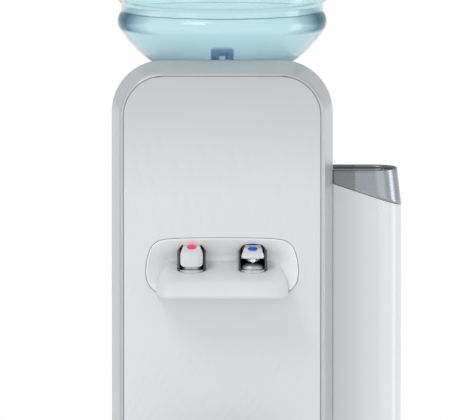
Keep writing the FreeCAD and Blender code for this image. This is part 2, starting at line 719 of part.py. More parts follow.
def tap_lever(name, side, top, low, rounding):
    """The white paddle: a sloping top, a curved front shield, and a hub on the pin."""
    made = body(f"{name}_lever_blank")
    brow = top - d.lever_sag
    nose = d.lever_brow
    front = -d.lever_front
    hub_low = d.pin_level - d.lever_hub
    web_front, web_back = d.pin_back - d.lever_web, d.pin_back + d.lever_web
    lug = d.pin_level + d.lug_rise
    pad(made, "YZ_Plane", [[(d.lever_back, top), (d.lever_flat, top, d.lever_bow),
                            (front + nose, brow, d.brow_round), (front, brow - nose),
                            (front, low), (-d.lug_front, low), (-d.lug_front, lug),
                            (-d.nub_half, lug), (-d.nub_half, d.pin_level),
                            (d.nub_half, d.pin_level), (d.nub_half, lug), (web_front, lug),
                            (web_front, hub_low), (web_back, hub_low), (web_back, lug + nose),
                            (d.lever_back, lug + nose)]], d.lever_half * 2, middle=True)
    half, crown = d.lever_half, d.lever_crown
    trim(made, "XZ_Plane", [(-half, low - far / 8), (half, low - far / 8),
                            (half, d.lever_shoulder + top - d.hot_top),
                            (crown, top + nose), (-crown, top + nose),
                            (-half, d.lever_shoulder + top - d.hot_top)], far / 4)
    front_side = root(d.lever_front * d.lever_front - half * half)
    trim(made, "XY_Plane", [(-half, -front_side, d.lever_front), (half, -front_side),
                            (half, d.lever_side), (d.lever_tail, d.lever_back + d.running_fit),
                            (-d.lever_tail, d.lever_back + d.running_fit),
                            (-half, d.lever_side)], far / 4)
    inside = d.lever_front - d.lever_wall
    chord = root(inside * inside - d.lug_front * d.lug_front)
    pocket(made, "XY_Plane", [[(-chord, -d.lug_front, inside), (chord, -d.lug_front)]],
           far / 8, brow - nose - d.lever_wall)
    reach = far / 8
    roof = brow - nose - d.lever_wall
    pocket(made, "XZ_Plane", [block(d.lug_half, reach, low - reach, roof),
                              block(-reach, -d.lug_half, low - reach, roof)],
           reach, d.lug_front)
    if rounding:
        pocket(made, "XZ_Plane", [corner(half, low, d.lever_round, turn) for turn in (1, -1)],
               d.lever_front - d.lug_front, d.lever_front)
    pocket(made, "YZ_Plane", [(d.pin_back, d.pin_level, d.pin_radius + d.running_fit)], far,
           middle=True)
    tap_place(made, side)
    recess = marker(f"{name}_marker_seat", side, top, d.running_fit)
    node(cut(f"{name}_lever_cut", made, recess), f"{name}_lever")
    dot = marker(f"{name}_marker", side, top, 0)
    node(dot, f"{name}_marker")


def marker(name, side, top, grow):
    """The coloured dot, square to the lever's sloping top."""
    made = cylinder(name, d.marker_radius + grow, d.marker_thick + grow * far / 8)
    tilt = FreeCAD.Rotation(FreeCAD.Vector(1, 0, 0), float(d.marker_tilt))
    made.Placement = FreeCAD.Placement(FreeCAD.Vector(), tilt)
    return place(made, side * d.tap_spread, tap_y - d.marker_back,
                 tap_z + top - d.marker_sink - d.marker_thick)


def tap_pin(name, side):
    made = cylinder(f"{name}_pin", d.pin_radius, d.pin_half * 2, along="x")
    return place(made, side * d.tap_spread - d.pin_half, tap_y + d.pin_back,
                 tap_z + d.pin_level)


def taps():
    sides = (("hot", -1), ("cold", 1))
    for label, make in (("tap_housings", tap_housing), ("tap_bodies", tap_body),
                        ("tap_plugs", tap_plug), ("tap_spouts", tap_spout),
                        ("lever_pins", tap_pin)):
        node(group(label, *[make(name, side) for name, side in sides]), label)
    for name, side in sides:
        tap_stem(name, side)
        tap_spring(name, side)
    tap_lever("hot", -1, d.hot_top, d.hot_low, True)
    tap_lever("cold", 1, d.cold_top, d.cold_low, False)


# ---- bottle and its seat ----------------------------------------------------

def bottle():
    """A ribbed bottle standing on its neck, with its inside open through the mouth."""
    made = body("bottle")
    neck, bead = d.neck_radius, d.bottle_groove
    top = neck_low + d.bottle_tall
    outer = [(neck, neck_low), (neck, neck_join, -d.flare_rise * 1.5),
             (d.neck_flare, neck_join + d.flare_rise), (d.seat_radius, seat_level, d.shoulder_bow),
             (d.shoulder_radius, neck_low + d.shoulder_rise)]
    level = neck_low + d.bead_low
    outer.append((bead, level, d.bead_round))
    level = level + d.bead_high
    for band in range(SIZES["band_count"]):
        outer.append((bead, level, -d.groove_round))
        level = level + d.groove_high
        outer.append((bead, level, d.band_round))
        outer.append((d.bottle_radius, level + d.band_round * 0.8))
        if band < SIZES["band_count"] - 1:
            level = level + d.band_high
            outer.append((d.bottle_radius, level - d.band_round * 0.8, d.band_round))
    outer += [(d.bottle_radius, top - d.base_round, d.base_round),
              (d.bottle_radius - d.base_round, top), (0, top)]
    wall = d.bottle_wall
    inside = bead - wall * 1.6
    inner = [(0, top - wall), (inside - d.base_round, top - wall, -d.base_round),
             (inside, top - wall - d.base_round), (inside, neck_low + d.bead_low + wall),
             (d.shoulder_radius - wall, neck_low + d.shoulder_rise + wall / 2),
             (d.seat_radius - wall, seat_level + wall),
             (d.neck_flare - wall * 0.6, neck_join + d.flare_rise + wall),
             (neck - d.neck_wall, neck_join + wall),
             (neck - d.neck_wall, neck_low)]
    revolve(made, [outer + inner])
    node(made, "bottle")


def bottle_cap():
    made = body("bottle_cap")
    low = neck_low - d.rest_gap - d.cap_floor
    grip, eye = d.neck_radius + d.cap_fit, d.probe_radius + d.rest_gap
    revolve(made, [[(eye, low), (d.cap_radius, low), (d.cap_radius, low + d.cap_skirt),
                    (grip, low + d.cap_skirt), (grip, low + d.cap_floor),
                    (eye, low + d.cap_floor)]])
    node(made, "bottle_cap")


def bottle_collar():
    """The funnel in the deck: a flange, a rim that the bottle's shoulder rests on, a well."""
    made = body("bottle_collar")
    eye, skin = d.stub_radius + d.rest_gap, d.well_radius + d.well_wall
    flange = deck_top + d.rest_gap
    shelf = flange + d.flange_thick
    rim = d.seat_radius + d.rim_wide
    rim_top = seat_level - d.rest_gap
    rise = (seat_level - neck_join - d.flare_rise) / (d.seat_radius - d.neck_flare)
    lean = d.rim_wide * 0.5
    revolve(made, [[(eye, well_floor - d.well_wall), (skin, well_floor - d.well_wall),
                    (skin, well_floor + d.well_long - d.well_wall),
                    (d.collar_radius, flange - d.flange_thick), (d.collar_radius, flange),
                    (d.flange_radius, flange), (d.flange_radius, shelf), (rim, shelf),
                    (d.seat_radius, rim_top), (d.seat_radius - lean, rim_top - lean * rise),
                    (d.funnel_radius, deck_top), (d.well_radius, well_floor + d.well_long),
                    (d.well_radius, well_floor), (eye, well_floor)]])
    node(made, "bottle_collar")


def feed_probe():
    """The hollow spike that opens the cap and feeds the cold tank."""
    made = body("feed_probe")
    seat = well_floor + d.rest_gap
    tube, bore = d.probe_radius, d.probe_bore
    stub_low, probe_top = tank_top - d.stub_dip, neck_low + d.probe_rise
    roof = probe_top - (tube - bore)
    revolve(made, [[(d.stub_radius - (tube - bore) / 2, stub_low), (d.stub_radius, stub_low),
                    (d.stub_radius, seat), (d.probe_flange, seat),
                    (d.probe_flange, seat + d.well_wall), (tube, seat + d.well_wall),
                    (tube, roof, tube - bore), (bore, probe_top), (0, probe_top), (0, roof),
                    (bore, roof), (bore, seat), (d.stub_radius - (tube - bore) / 2, seat)]])
    high = roof - d.window_drop
    pocket(made, "XZ_Plane", [block(-d.window_half, d.window_half, high - d.window_tall, high)],
           tube * 4, middle=True)
    node(made, "feed_probe")


# ---- drip tray --------------------------------------------------------------

def tray_plan(shrink, back_gap):
    half, front = d.shelf_half - shrink, -d.front_reach - d.shelf_reach + shrink
    back, turn = -d.front_reach - back_gap, d.shelf_corner - shrink
    return [(-half, back), (-half, front + turn, turn), (turn - half, front),
            (half - turn, front, turn), (half, front + turn), (half, back)]


def drip_tray():
    shelf = body("drip_shelf")
    low = d.shelf_top - d.shelf_deep
    floor = low + d.shelf_wall
    back = d.rest_gap
    pad(shelf, "XY_Plane", [tray_plan(0, back)], d.shelf_deep, low)
    pocket(shelf, "XY_Plane", [tray_plan(d.shelf_wall, back + d.shelf_wall)],
           d.shelf_deep - d.shelf_wall, d.shelf_top)
    node(shelf, "drip_shelf")
    slack = d.shelf_wall + d.tray_gap
    tray_top = d.shelf_top - d.grille_thick - d.rest_gap
    tray = body("drip_tray")
    pad(tray, "XY_Plane", [tray_plan(slack, back + slack)], tray_top - floor - d.rest_gap,
        floor + d.rest_gap)
    pocket(tray, "XY_Plane", [tray_plan(slack + d.tray_wall, back + slack + d.tray_wall)],
           tray_top - floor - d.rest_gap - d.tray_wall, tray_top)
    node(tray, "drip_tray")
    grille = body("drip_grille")
    count = SIZES["slot_count"]
    middle = -d.front_reach - d.shelf_reach / 2
    reach = d.shelf_reach / 2 - d.slot_margin
    slots = [block(x - d.slot_wide / 2, x + d.slot_wide / 2, middle - reach, middle + reach)
             for x in (d.slot_pitch * (index - (count - 1) / 2) for index in range(count))]
    pad(grille, "XY_Plane", [tray_plan(slack, back + slack)] + slots, d.grille_thick,
        d.shelf_top - d.grille_thick)
    node(grille, "drip_grille")


# ---- cold side --------------------------------------------------------------

def shelf(name, level):
    """A sheet shelf across the cabinet with its two ends folded down."""
    made = body(name)
    half, sheet_wall = side_inner - d.rest_gap, d.sheet_thick
    low = level - d.shelf_hem
    pad(made, "XZ_Plane", [[(-half, low), (sheet_wall - half, low),
                            (sheet_wall - half, level - sheet_wall),
                            (half - sheet_wall, level - sheet_wall), (half - sheet_wall, low),
                            (half, low), (half, level), (-half, level)]],
        d.shelf_front + d.shelf_back, -d.shelf_back)
    return made


def cold_tank():
    tank = body("cold_tank")
    radius, wall = d.tank_radius, d.tank_wall
    revolve(tank, [[(0, tank_low), (radius, tank_low), (radius, tank_top),
                    (radius - wall, tank_top), (radius - wall, tank_low + wall),
                    (0, tank_low + wall)]])
    node(tank, "cold_tank")
    lid = body("tank_lid")
    low = tank_top + d.rest_gap
    eye = d.stub_radius + d.rest_gap
    revolve(lid, [[(eye, low), (radius, low), (radius, low + d.lid_thick),
                   (eye, low + d.lid_thick)]])
    node(lid, "tank_lid")
    foam = body("tank_foam")
    bore = radius + d.coil_wire * 2 + d.rest_gap * 3
    top = tank_top + d.rest_gap + d.lid_thick
    revolve(foam, [[(0, foam_low), (d.foam_radius, foam_low), (d.foam_radius, top), (bore, top),
                    (bore, tank_low - d.rest_gap), (0, tank_low - d.rest_gap)]])
    node(foam, "tank_foam")
    baffle = body("tank_baffle")
    low, level = tank_low + wall + d.rest_gap, tank_low + d.baffle_rise
    revolve(baffle, [[(d.stand_bore, low), (d.stand_radius, low), (d.stand_radius, level),
                      (d.baffle_radius, level), (d.baffle_radius, level + d.baffle_thick),
                      (d.stand_bore, level + d.baffle_thick)]])
    node(baffle, "tank_baffle")


def coil(label, radius, wire, pitch, height, low):
    """A round wire or tube wound into a coil about the vertical axis."""
    path = doc.addObject("Part::Helix", f"{label}_path")
    bind(path, "Pitch", pitch)
    bind(path, "Height", height)
    bind(path, "Radius", radius)
    doc.recompute()
    ring = Part.Wire(Part.makeCircle(float(wire), FreeCAD.Vector(float(radius), 0, 0),
                                     FreeCAD.Vector(0, 1, 0)))
    made = doc.addObject("Part::Feature", label)
    made.Shape = Part.Wire(path.Shape.Edges).makePipeShell([ring], True, True)
    return place(made, 0, 0, low)


def evaporator():
    radius = d.tank_radius + d.coil_wire + d.rest_gap
    made = coil("evaporator_coil", radius, d.coil_wire, d.coil_pitch,
                d.coil_pitch * d.coil_turns, tank_low + d.coil_rise)
    node(made, "evaporator_coil")


# ---- hot side ---------------------------------------------------------------

def boiler():
    tank = body("hot_tank")
    radius, wall, mouth = d.boiler_radius, d.boiler_wall, d.boiler_mouth
    revolve(tank, [[(0, boiler_low), (radius, boiler_low), (radius, boiler_top),
                    (mouth, boiler_top), (mouth, boiler_top - wall),
                    (radius - wall, boiler_top - wall), (radius - wall, boiler_low + wall),
                    (0, boiler_low + wall)]])
    node(tank, "hot_tank")
    heater = body("band_heater")
    low = boiler_low + d.heater_rise
    pad(heater, "XY_Plane", [(0, 0, heater_outer), (0, 0, radius + d.running_fit)],
        d.heater_high, low)
    node(heater, "band_heater")
    jacket = body("hot_jacket")
    skin = jacket_bore + d.jacket_thick
    revolve(jacket, [[(0, jacket_low), (skin, jacket_low), (skin, boiler_top),
                      (jacket_bore, boiler_top), (jacket_bore, boiler_low - d.rest_gap),
                      (0, boiler_low - d.rest_gap)]])
    node(jacket, "hot_jacket")


def hoses():
    """The two hoses from the taps: straight back to the foam, and down to the hot jacket."""
    start = tap_y + d.bonnet_radius + d.rest_gap
    level = tap_z - d.port_drop
    side, near = d.tap_spread, d.tap_spread - d.hose_radius
    skin, hose_level = jacket_bore + d.jacket_thick, jacket_low + d.hot_hose_rise
    foam_face = -root(d.foam_radius * d.foam_radius - near * near) - d.rest_gap
    jacket_face = -root(skin * skin - near * near) - d.rest_gap
    node(path_pipe("cold_hose", [(side, start, level), (side, foam_face, level)],
                   d.hose_radius, d.hose_bore, d.hose_bend), "cold_hose")
    drop = -d.front_reach + d.hot_hose_back
    node(path_pipe("hot_hose", [(-side, start, level), (-side, drop, level),
                                (-side, drop, hose_level),
                                (-side, jacket_face, hose_level)],
                   d.hose_radius, d.hose_bore, d.hose_bend), "hot_hose")


# ---- machine space ----------------------------------------------------------

def compressor():
    pot = body("compressor_pot")
    radius, base, crown = d.pot_radius, d.pot_round, d.pot_crown
    top = pot_low + d.pot_high
    revolve(pot, [[(0, pot_low), (radius - base, pot_low, base), (radius, pot_low + base),
                   (radius, top - crown, crown), (radius - crown, top), (0, top)]])
    place(pot, 0, d.pot_back, 0)
    mount = box("compressor_mount", -d.mount_half, d.mount_half, d.pot_back - d.mount_deep,
                d.pot_back + d.mount_deep, mount_low, pot_low)
    node(fuse("compressor", pot, mount), "compressor")
    inset = d.grommet_radius
    spots = [(side * (d.mount_half - inset), d.pot_back + end * (d.mount_deep - inset))
             for side in (-1, 1) for end in (-1, 1)]
    made = [cylinder(f"grommet_{index}", d.grommet_radius, d.grommet_high, x, y, grommet_low)
            for index, (x, y) in enumerate(spots)]
    node(group("compressor_grommets", *made), "compressor_grommets")


def refrigerant_lines():
    near = d.pot_radius + d.rest_gap * 2
    far_side = d.line_side
    near_side = d.line_inner - d.line_radius
    face = root(d.foam_radius * d.foam_radius - near_side * near_side) + d.rest_gap
    level, back = d.line_level, d.line_back
    suction_level, liquid_level = foam_low + d.suction_rise, foam_low + d.liquid_rise
    node(path_pipe("suction_line", [(near, d.pot_back, level), (far_side, d.pot_back, level),
                                    (far_side, back, level), (far_side, back, suction_level),
                                    (d.line_inner, back, suction_level),
                                    (d.line_inner, face, suction_level)],
                   d.line_radius, 0, d.line_bend), "suction_line")
    line = path_pipe("liquid_tube", [(-near, d.pot_back, level), (-far_side, d.pot_back, level),
                                     (-far_side, back, level),
                                     (-far_side, back, liquid_level),
                                     (-d.line_inner, back, liquid_level),
                                     (-d.line_inner, face, liquid_level)],
                     d.line_radius, 0, d.line_bend)
    drier = cylinder("filter_drier", d.drier_radius, d.drier_long, -far_side, back, d.drier_low)
    node(fuse("liquid_line", line, drier), "liquid_line")


def condenser():
    """One tube folded to and fro behind the cabinet, with upright wires across it."""
    rows, pitch = SIZES["condenser_rows"], d.condenser_pitch
    middle = d.back_reach + d.condenser_gap + d.condenser_tube
    half, bend = d.condenser_half, pitch / 2
    points = [(-half, middle, d.condenser_low)]
    for row in range(rows):
        level = d.condenser_low + pitch * row
        end = (half + bend) * (1 if row % 2 == 0 else -1)
        if row < rows - 1:
            points += [(end, middle, level), (end, middle, level + pitch)]
        else:
            points.append((half if row % 2 == 0 else -half, middle, level))
    tube = path_pipe("condenser_tube", points, d.condenser_tube, 0, bend * d.bend_share)
    high = d.condenser_low + pitch * (rows - 1)
    spots = [(side * d.clip_side, level) for side in (-1, 1) for level in (d.condenser_low, high)]
    clips = [cylinder(f"clip_{index}", d.clip_radius, d.condenser_gap + d.condenser_tube, x,
                      d.back_reach, z, along="y") for index, (x, z) in enumerate(spots)]
    node(fuse("condenser", tube, *clips), "condenser")
    count = SIZES["wire_count"]
    step = half * 2 / (count - 1)
    wires = [cylinder(f"wire_{index}", d.wire_radius,
                      high - d.condenser_low + d.wire_over * 2, step * index - half,
                      middle + d.condenser_tube + d.wire_radius, d.condenser_low - d.wire_over)
             for index in range(count)]
    node(group("condenser_wires", *wires), "condenser_wires")


# ---- controls at the back ---------------------------------------------------

def switch_plate():
    made = body("switch_plate")
    room = d.rocker_room
    holes = [block(x - d.rocker_half - d.rest_gap, x + d.rocker_half + d.rest_gap,
                   d.plate_level - d.rocker_tall - room, d.plate_level + d.rocker_tall + room)
             for x in (-d.rocker_side, d.rocker_side)]
    pad(made, "XZ_Plane", [rounded(-d.plate_half, d.plate_half, d.plate_level - d.plate_tall,
                                   d.plate_level + d.plate_tall, d.plate_thick, d.plate_thick)]
        + holes, d.plate_thick, -d.back_reach - d.plate_thick)
    node(made, "switch_plate")


def rocker(label, side):
    """A rocker with a shallow valley in its face, turning about its middle."""
    made = body(label)
    pivot = d.back_reach + d.plate_thick / 2
    tall, deep = d.rocker_tall, d.rocker_deep
    pad(made, "YZ_Plane", [[(-deep, -tall), (deep, -tall), (deep - d.rocker_room, 0),
                            (deep, tall), (-deep, tall)]], d.rocker_half * 2, middle=True)
    place(made, side * d.rocker_side, pivot, d.plate_level)
    node(made, label)


def thermostat():
    case = box("thermostat_case", -d.switch_half, d.switch_half, back_skin - d.switch_deep,
               back_skin, d.knob_level - d.switch_tall, d.knob_level + d.switch_tall)
    shaft = cylinder("thermostat_shaft", d.shaft_radius, d.shaft_long + d.sheet_thick,
                     0, back_skin, d.knob_level, along="y")
    node(fuse("thermostat", case, shaft), "thermostat")
    knob = body("thermostat_knob")
    start = d.back_reach + d.rest_gap
    pad(knob, "XZ_Plane", [(0, d.knob_level, d.knob_radius)], d.knob_thick, -start - d.knob_thick)
    pocket(knob, "XZ_Plane", [(0, d.knob_level, d.shaft_radius + d.running_fit)], d.knob_bore,
           -start)
    cheek = d.knob_radius * 1.5
    grip = d.knob_thick * 0.6
    pocket(knob, "XZ_Plane", [block(d.knob_grip, cheek, d.knob_level - cheek,
                                    d.knob_level + cheek),
                              block(-cheek, -d.knob_grip, d.knob_level - cheek,
                                    d.knob_level + cheek)],
           grip, -start - d.knob_thick, forward=True)
    node(knob, "thermostat_knob")


def drain():
    made = body("drain_spigot")
    inner = back_skin - d.drain_in
    spot = (-d.drain_side, d.drain_level)
    out = d.back_reach + d.drain_out
    pad(made, "XZ_Plane", [spot + (d.drain_radius,)], out - inner, -out)
    pad(made, "XZ_Plane", [spot + (d.drain_flange,)], d.base_wall, -back_skin + d.rest_gap)
    pocket(made, "XZ_Plane", [spot + (d.drain_bore,)], far, middle=True)
    node(made, "drain_spigot")
    cap = body("drain_cap")
    low = d.back_reach + d.rest_gap
    high = out + d.rest_gap + d.cap_over
    pad(cap, "XZ_Plane", [spot + (d.drain_radius + d.cap_over,)], high - low, -high)
    pocket(cap, "XZ_Plane", [spot + (d.drain_radius + d.running_fit,)], out + d.rest_gap - low,
           -low)
    node(cap, "drain_cap")


def power_inlet():
    """The mains socket: a moulded well with three prongs."""
    x, z = d.socket_side, d.socket_level
    half, tall, wall = d.socket_half, d.socket_tall, d.socket_wall
    front, back = d.back_reach - d.socket_deep, d.back_reach + d.plate_thick
    case = box("inlet_case", x - half, x + half, front, back, z - tall, z + tall)
    rim = box("inlet_rim", x - half - wall, x + half + wall, d.back_reach + d.rest_gap, back,
              z - tall - wall, z + tall + wall)
    well = box("inlet_well", x - half + wall, x + half - wall, back - d.socket_well, back + wall,
               z - tall + wall, z + tall - wall)
    prongs = [box(f"prong_{index}", x + step * d.prong_step - d.prong_half,
                  x + step * d.prong_step + d.prong_half, back - d.socket_well - d.prong_half,
                  back - d.socket_well + d.prong_long, z - wall, z + wall)
              for index, step in enumerate((-1, 0, 1))]
    shell = cut("inlet_shell", fuse("inlet_block", case, rim), well)
    node(fuse("power_inlet", shell, *prongs), "power_inlet")


def screw(name, x, y, z, along):
    """A pan-head screw whose head starts at the point and faces along the axis."""
    back = {axis: d.screw_long if axis == along else sized(0) for axis in "xyz"}
    shank = cylinder(f"{name}_shank", d.screw_radius, d.screw_long, x - back["x"],
                     y - back["y"], z - back["z"], along)
    head = cylinder(f"{name}_head", d.screw_head, d.screw_head_thick, x, y, z, along)
    return fuse(name, shank, head)


def panel_screws():
    made = [screw(f"back_screw_{index}", x, d.back_reach + d.running_fit, z, "y")
            for index, (x, z) in enumerate(back_screws())]
    made += [screw(f"cup_screw_{index}", cup_left + d.cup_wall + d.running_fit, cup_middle_y,
                   z, "x") for index, z in enumerate(cup_screw_levels())]
    node(group("panel_screws", *made), "panel_screws")


# ---- cup dispenser ----------------------------------------------------------

def cup_screw_levels():
    return [d.cup_screw_low, d.cup_screw_low + d.cup_screw_pitch]


def cup_plan(shrink, pull=0):
    """A rectangle that is flat at the cabinet and round at its outer end."""
    left, right = cup_left + shrink, cup_right - shrink - pull
    front, back = shrink - d.cup_front, cup_back - shrink
    edge, turn = d.cup_edge, d.cup_corner - shrink
    return [(left + edge, front), (right - turn, front, turn), (right, front + turn),
            (right, back - turn, turn), (right - turn, back), (left + edge, back, edge),
            (left, back - edge), (left, front + edge, edge)]


def slanted(lift, high):
    """The part above the slanted joint between the dispenser's shell and its cap."""
    over = d.cup_edge
    low = d.cup_top - d.cap_left + lift
    fall = (d.cap_right - d.cap_left) / d.cup_wide
    return [(cup_left - over, low + over * fall), (cup_right + over, low - (d.cup_wide + over)
            * fall), (cup_right + over, high), (cup_left - over, high)]


def cup_dispenser():
    shell = body("cup_shell")
    wall = d.cup_wall
    top = d.cup_top
    tube = d.cup_bore + d.tube_wall
    low = cup_low
    pad(shell, "XY_Plane", [cup_plan(0)], d.cup_long - d.cap_left, low)
    pocket(shell, "XY_Plane", [cup_plan(wall)], d.cup_long - wall, top)
    pocket(shell, "XY_Plane", [(cup_middle_x, cup_middle_y, tube + d.running_fit)], wall * 2,
           low + wall * 1.5)
    pocket(shell, "XZ_Plane", [slanted(0, top + wall)], far * 2, middle=True)
    pocket(shell, "YZ_Plane", [(cup_middle_y, z, d.screw_radius + d.screw_room)
                               for z in cup_screw_levels()], wall * 2, cup_left + wall * 1.5)
    node(shell, "cup_shell")
    cap = body("cup_cap")
    foot = top - d.cap_right - wall
    loft(cap, "XY_Plane", [(cup_plan(0), foot), (cup_plan(0, d.cap_taper), top)])
    loft(cap, "XY_Plane", [(cup_plan(d.cap_wall), foot - wall),
                           (cup_plan(d.cap_wall, d.cap_taper), top - d.dish_deep - d.cap_wall)],
         additive=False)
    pocket(cap, "XY_Plane", [cup_plan(d.dish_lip, d.cap_taper)], d.dish_deep, top)
    keep = slanted(d.rest_gap, top + wall)
    over = far / 2
    pocket(cap, "XZ_Plane", [[keep[1], keep[0], (cup_left - d.cup_edge, top - over),
                              (cup_right + d.cup_edge, top - over)]], far * 2, middle=True)
    node(cap, "cup_cap")
    inner = body("cup_tube")
    pad(inner, "XY_Plane", [(cup_middle_x, cup_middle_y, tube),
                            (cup_middle_x, cup_middle_y, d.cup_bore)],
        d.tube_rise + d.tube_below, low - d.tube_below)
    node(inner, "cup_tube")
    ring = body("cup_retainer")
    high = low - d.rest_gap
    foot = high - d.retainer_high
    skin = tube + d.running_fit
    revolve(ring, [[(d.retainer_bore, foot), (skin + d.tube_wall, foot),
                    (skin + d.tube_wall, high), (skin, high),
                    (skin, low - d.tube_below - d.rest_gap),
                    (d.retainer_bore, low - d.tube_below - d.rest_gap)]])
    place(ring, cup_middle_x, cup_middle_y, 0)
    node(ring, "cup_retainer")


# ---- the whole cooler ---------------------------------------------------------

arch_frame()
front_panel()
bulkhead()
side_panel("side_panel_left", -1)
side_panel("side_panel_right", 1)
top_deck()
back_panel()
base_tray()
feet()
console()
taps()
bottle()
bottle_cap()
bottle_collar()
feed_probe()
drip_tray()
node(group("tank_shelves", shelf("upper_shelf", upper_level),
           shelf("lower_shelf", lower_level)), "tank_shelves")
cold_tank()
evaporator()
boiler()
hoses()
compressor()
refrigerant_lines()
condenser()
switch_plate()
rocker("hot_switch", -1)
rocker("cold_switch", 1)
thermostat()
drain()
power_inlet()
panel_screws()
cup_dispenser()
doc.recompute()

for thing in doc.Objects:
    if "Invalid" in thing.State or "Error" in thing.State:
        raise RuntimeError(f"{thing.Label} did not build: {thing.State}")
for thing in nodes:
    if thing.Shape.isNull() or not thing.Shape.isValid():
        raise RuntimeError(f"{thing.Label} has no valid shape")

os.makedirs("parts", exist_ok=True)
for thing in nodes:
    thing.Shape.exportStep(f"parts/{thing.Label}.step")
print(len(nodes), "nodes written")
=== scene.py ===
import json
import math
import bmesh
import bpy
import numpy as np
from mathutils import Euler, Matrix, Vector

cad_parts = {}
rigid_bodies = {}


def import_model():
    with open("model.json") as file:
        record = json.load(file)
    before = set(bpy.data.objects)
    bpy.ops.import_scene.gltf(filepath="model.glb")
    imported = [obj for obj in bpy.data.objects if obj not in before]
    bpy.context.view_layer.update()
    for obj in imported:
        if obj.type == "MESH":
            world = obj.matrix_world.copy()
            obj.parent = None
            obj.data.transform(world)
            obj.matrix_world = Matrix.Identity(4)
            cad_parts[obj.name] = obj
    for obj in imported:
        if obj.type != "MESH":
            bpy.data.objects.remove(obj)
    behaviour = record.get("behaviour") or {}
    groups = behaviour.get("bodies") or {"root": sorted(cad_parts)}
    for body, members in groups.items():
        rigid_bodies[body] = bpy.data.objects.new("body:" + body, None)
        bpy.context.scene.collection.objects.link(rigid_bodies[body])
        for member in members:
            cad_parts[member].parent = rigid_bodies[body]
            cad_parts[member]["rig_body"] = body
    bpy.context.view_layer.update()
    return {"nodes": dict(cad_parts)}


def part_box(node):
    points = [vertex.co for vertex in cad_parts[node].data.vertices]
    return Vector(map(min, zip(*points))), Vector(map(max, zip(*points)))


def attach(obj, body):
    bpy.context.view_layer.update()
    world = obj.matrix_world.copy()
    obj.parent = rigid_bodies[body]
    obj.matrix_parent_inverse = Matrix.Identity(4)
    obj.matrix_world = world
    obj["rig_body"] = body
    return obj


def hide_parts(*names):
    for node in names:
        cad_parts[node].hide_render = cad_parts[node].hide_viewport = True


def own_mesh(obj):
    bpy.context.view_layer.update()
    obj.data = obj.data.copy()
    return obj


# A top-load water cooler with an inverted blue bottle. Metres, +Z up, front towards -Y.

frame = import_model()
nodes = frame["nodes"]
print("frame loaded")


# camera, floor and lamps

view = {"target": (0.00362, -0.177, 0.78327), "distance": 12.0, "pitch": 6.0,
        "focalPixels": 9411.4, "pixelsWide": 450, "sensor": 36.0}
studio = {"worldGrey": 0.665, "floorSize": 30.0, "fadeFrom": 0.7, "fadeOver": 1.1,
          "aim": (0, -0.1, 0.7),
          "lamps": {"key": ((-2.0, -2.6, 1.0), 7.0, 1.5, 1.1),
                    "fill": ((1.9, -2.8, 0.7), 10.0, 2.4, 2.0),
                    "low": ((-0.4, -1.7, 0.25), 1.5, 1.2, 0.7),
                    "left": ((-2.8, -1.2, 0.7), 2.0, 1.0, 1.4),
                    "right": ((2.6, -0.1, 0.7), 12.0, 0.8, 1.6),
                    "top": ((-1.2, -1.7, 2.9), 23.0, 1.2, 1.2)}}


def placed(name, data):
    thing = bpy.data.objects.new(name, data)
    bpy.context.scene.collection.objects.link(thing)
    return thing


def addCamera():
    data = bpy.data.cameras.new("camera")
    data.sensor_width = view["sensor"]
    data.lens = view["focalPixels"] * view["sensor"] / view["pixelsWide"]
    data.clip_end = 100
    camera = placed("camera", data)
    pitch = math.radians(view["pitch"])
    target = Vector(view["target"])
    camera.location = target + Vector((0, -math.cos(pitch), math.sin(pitch))) * view["distance"]
    camera.rotation_euler = Euler((math.pi / 2 - pitch, 0, 0))
    bpy.context.scene.camera = camera


def addLamp(name, place, aim, energy, wide, high):
    data = bpy.data.lights.new(name, "AREA")
    data.shape = "RECTANGLE"
    data.size, data.size_y, data.energy = wide, high, energy
    lamp = placed(name, data)
    lamp.location = place
    lamp.rotation_euler = (Vector(aim) - Vector(place)).to_track_quat("-Z", "Y").to_euler()


# shader nodes as expressions

class Wire:
    def __init__(self, board, socket):
        self.board, self.socket = board, socket

    def math(self, kind, *others):
        made = self.board.node("ShaderNodeMath", {"operation": kind},
                               dict(enumerate((self,) + others)))
        return made[0]

    def __add__(self, other):
        return self.math("ADD", other)

    def __sub__(self, other):
        return self.math("SUBTRACT", other)

    def __mul__(self, other):
        return self.math("MULTIPLY", other)

    def __truediv__(self, other):
        return self.math("DIVIDE", other)

    def __radd__(self, other):
        return self + other

    def __rsub__(self, other):
        return self * -1 + other

    def clamp(self):
        return self.math("MAXIMUM", 0.0).math("MINIMUM", 1.0)


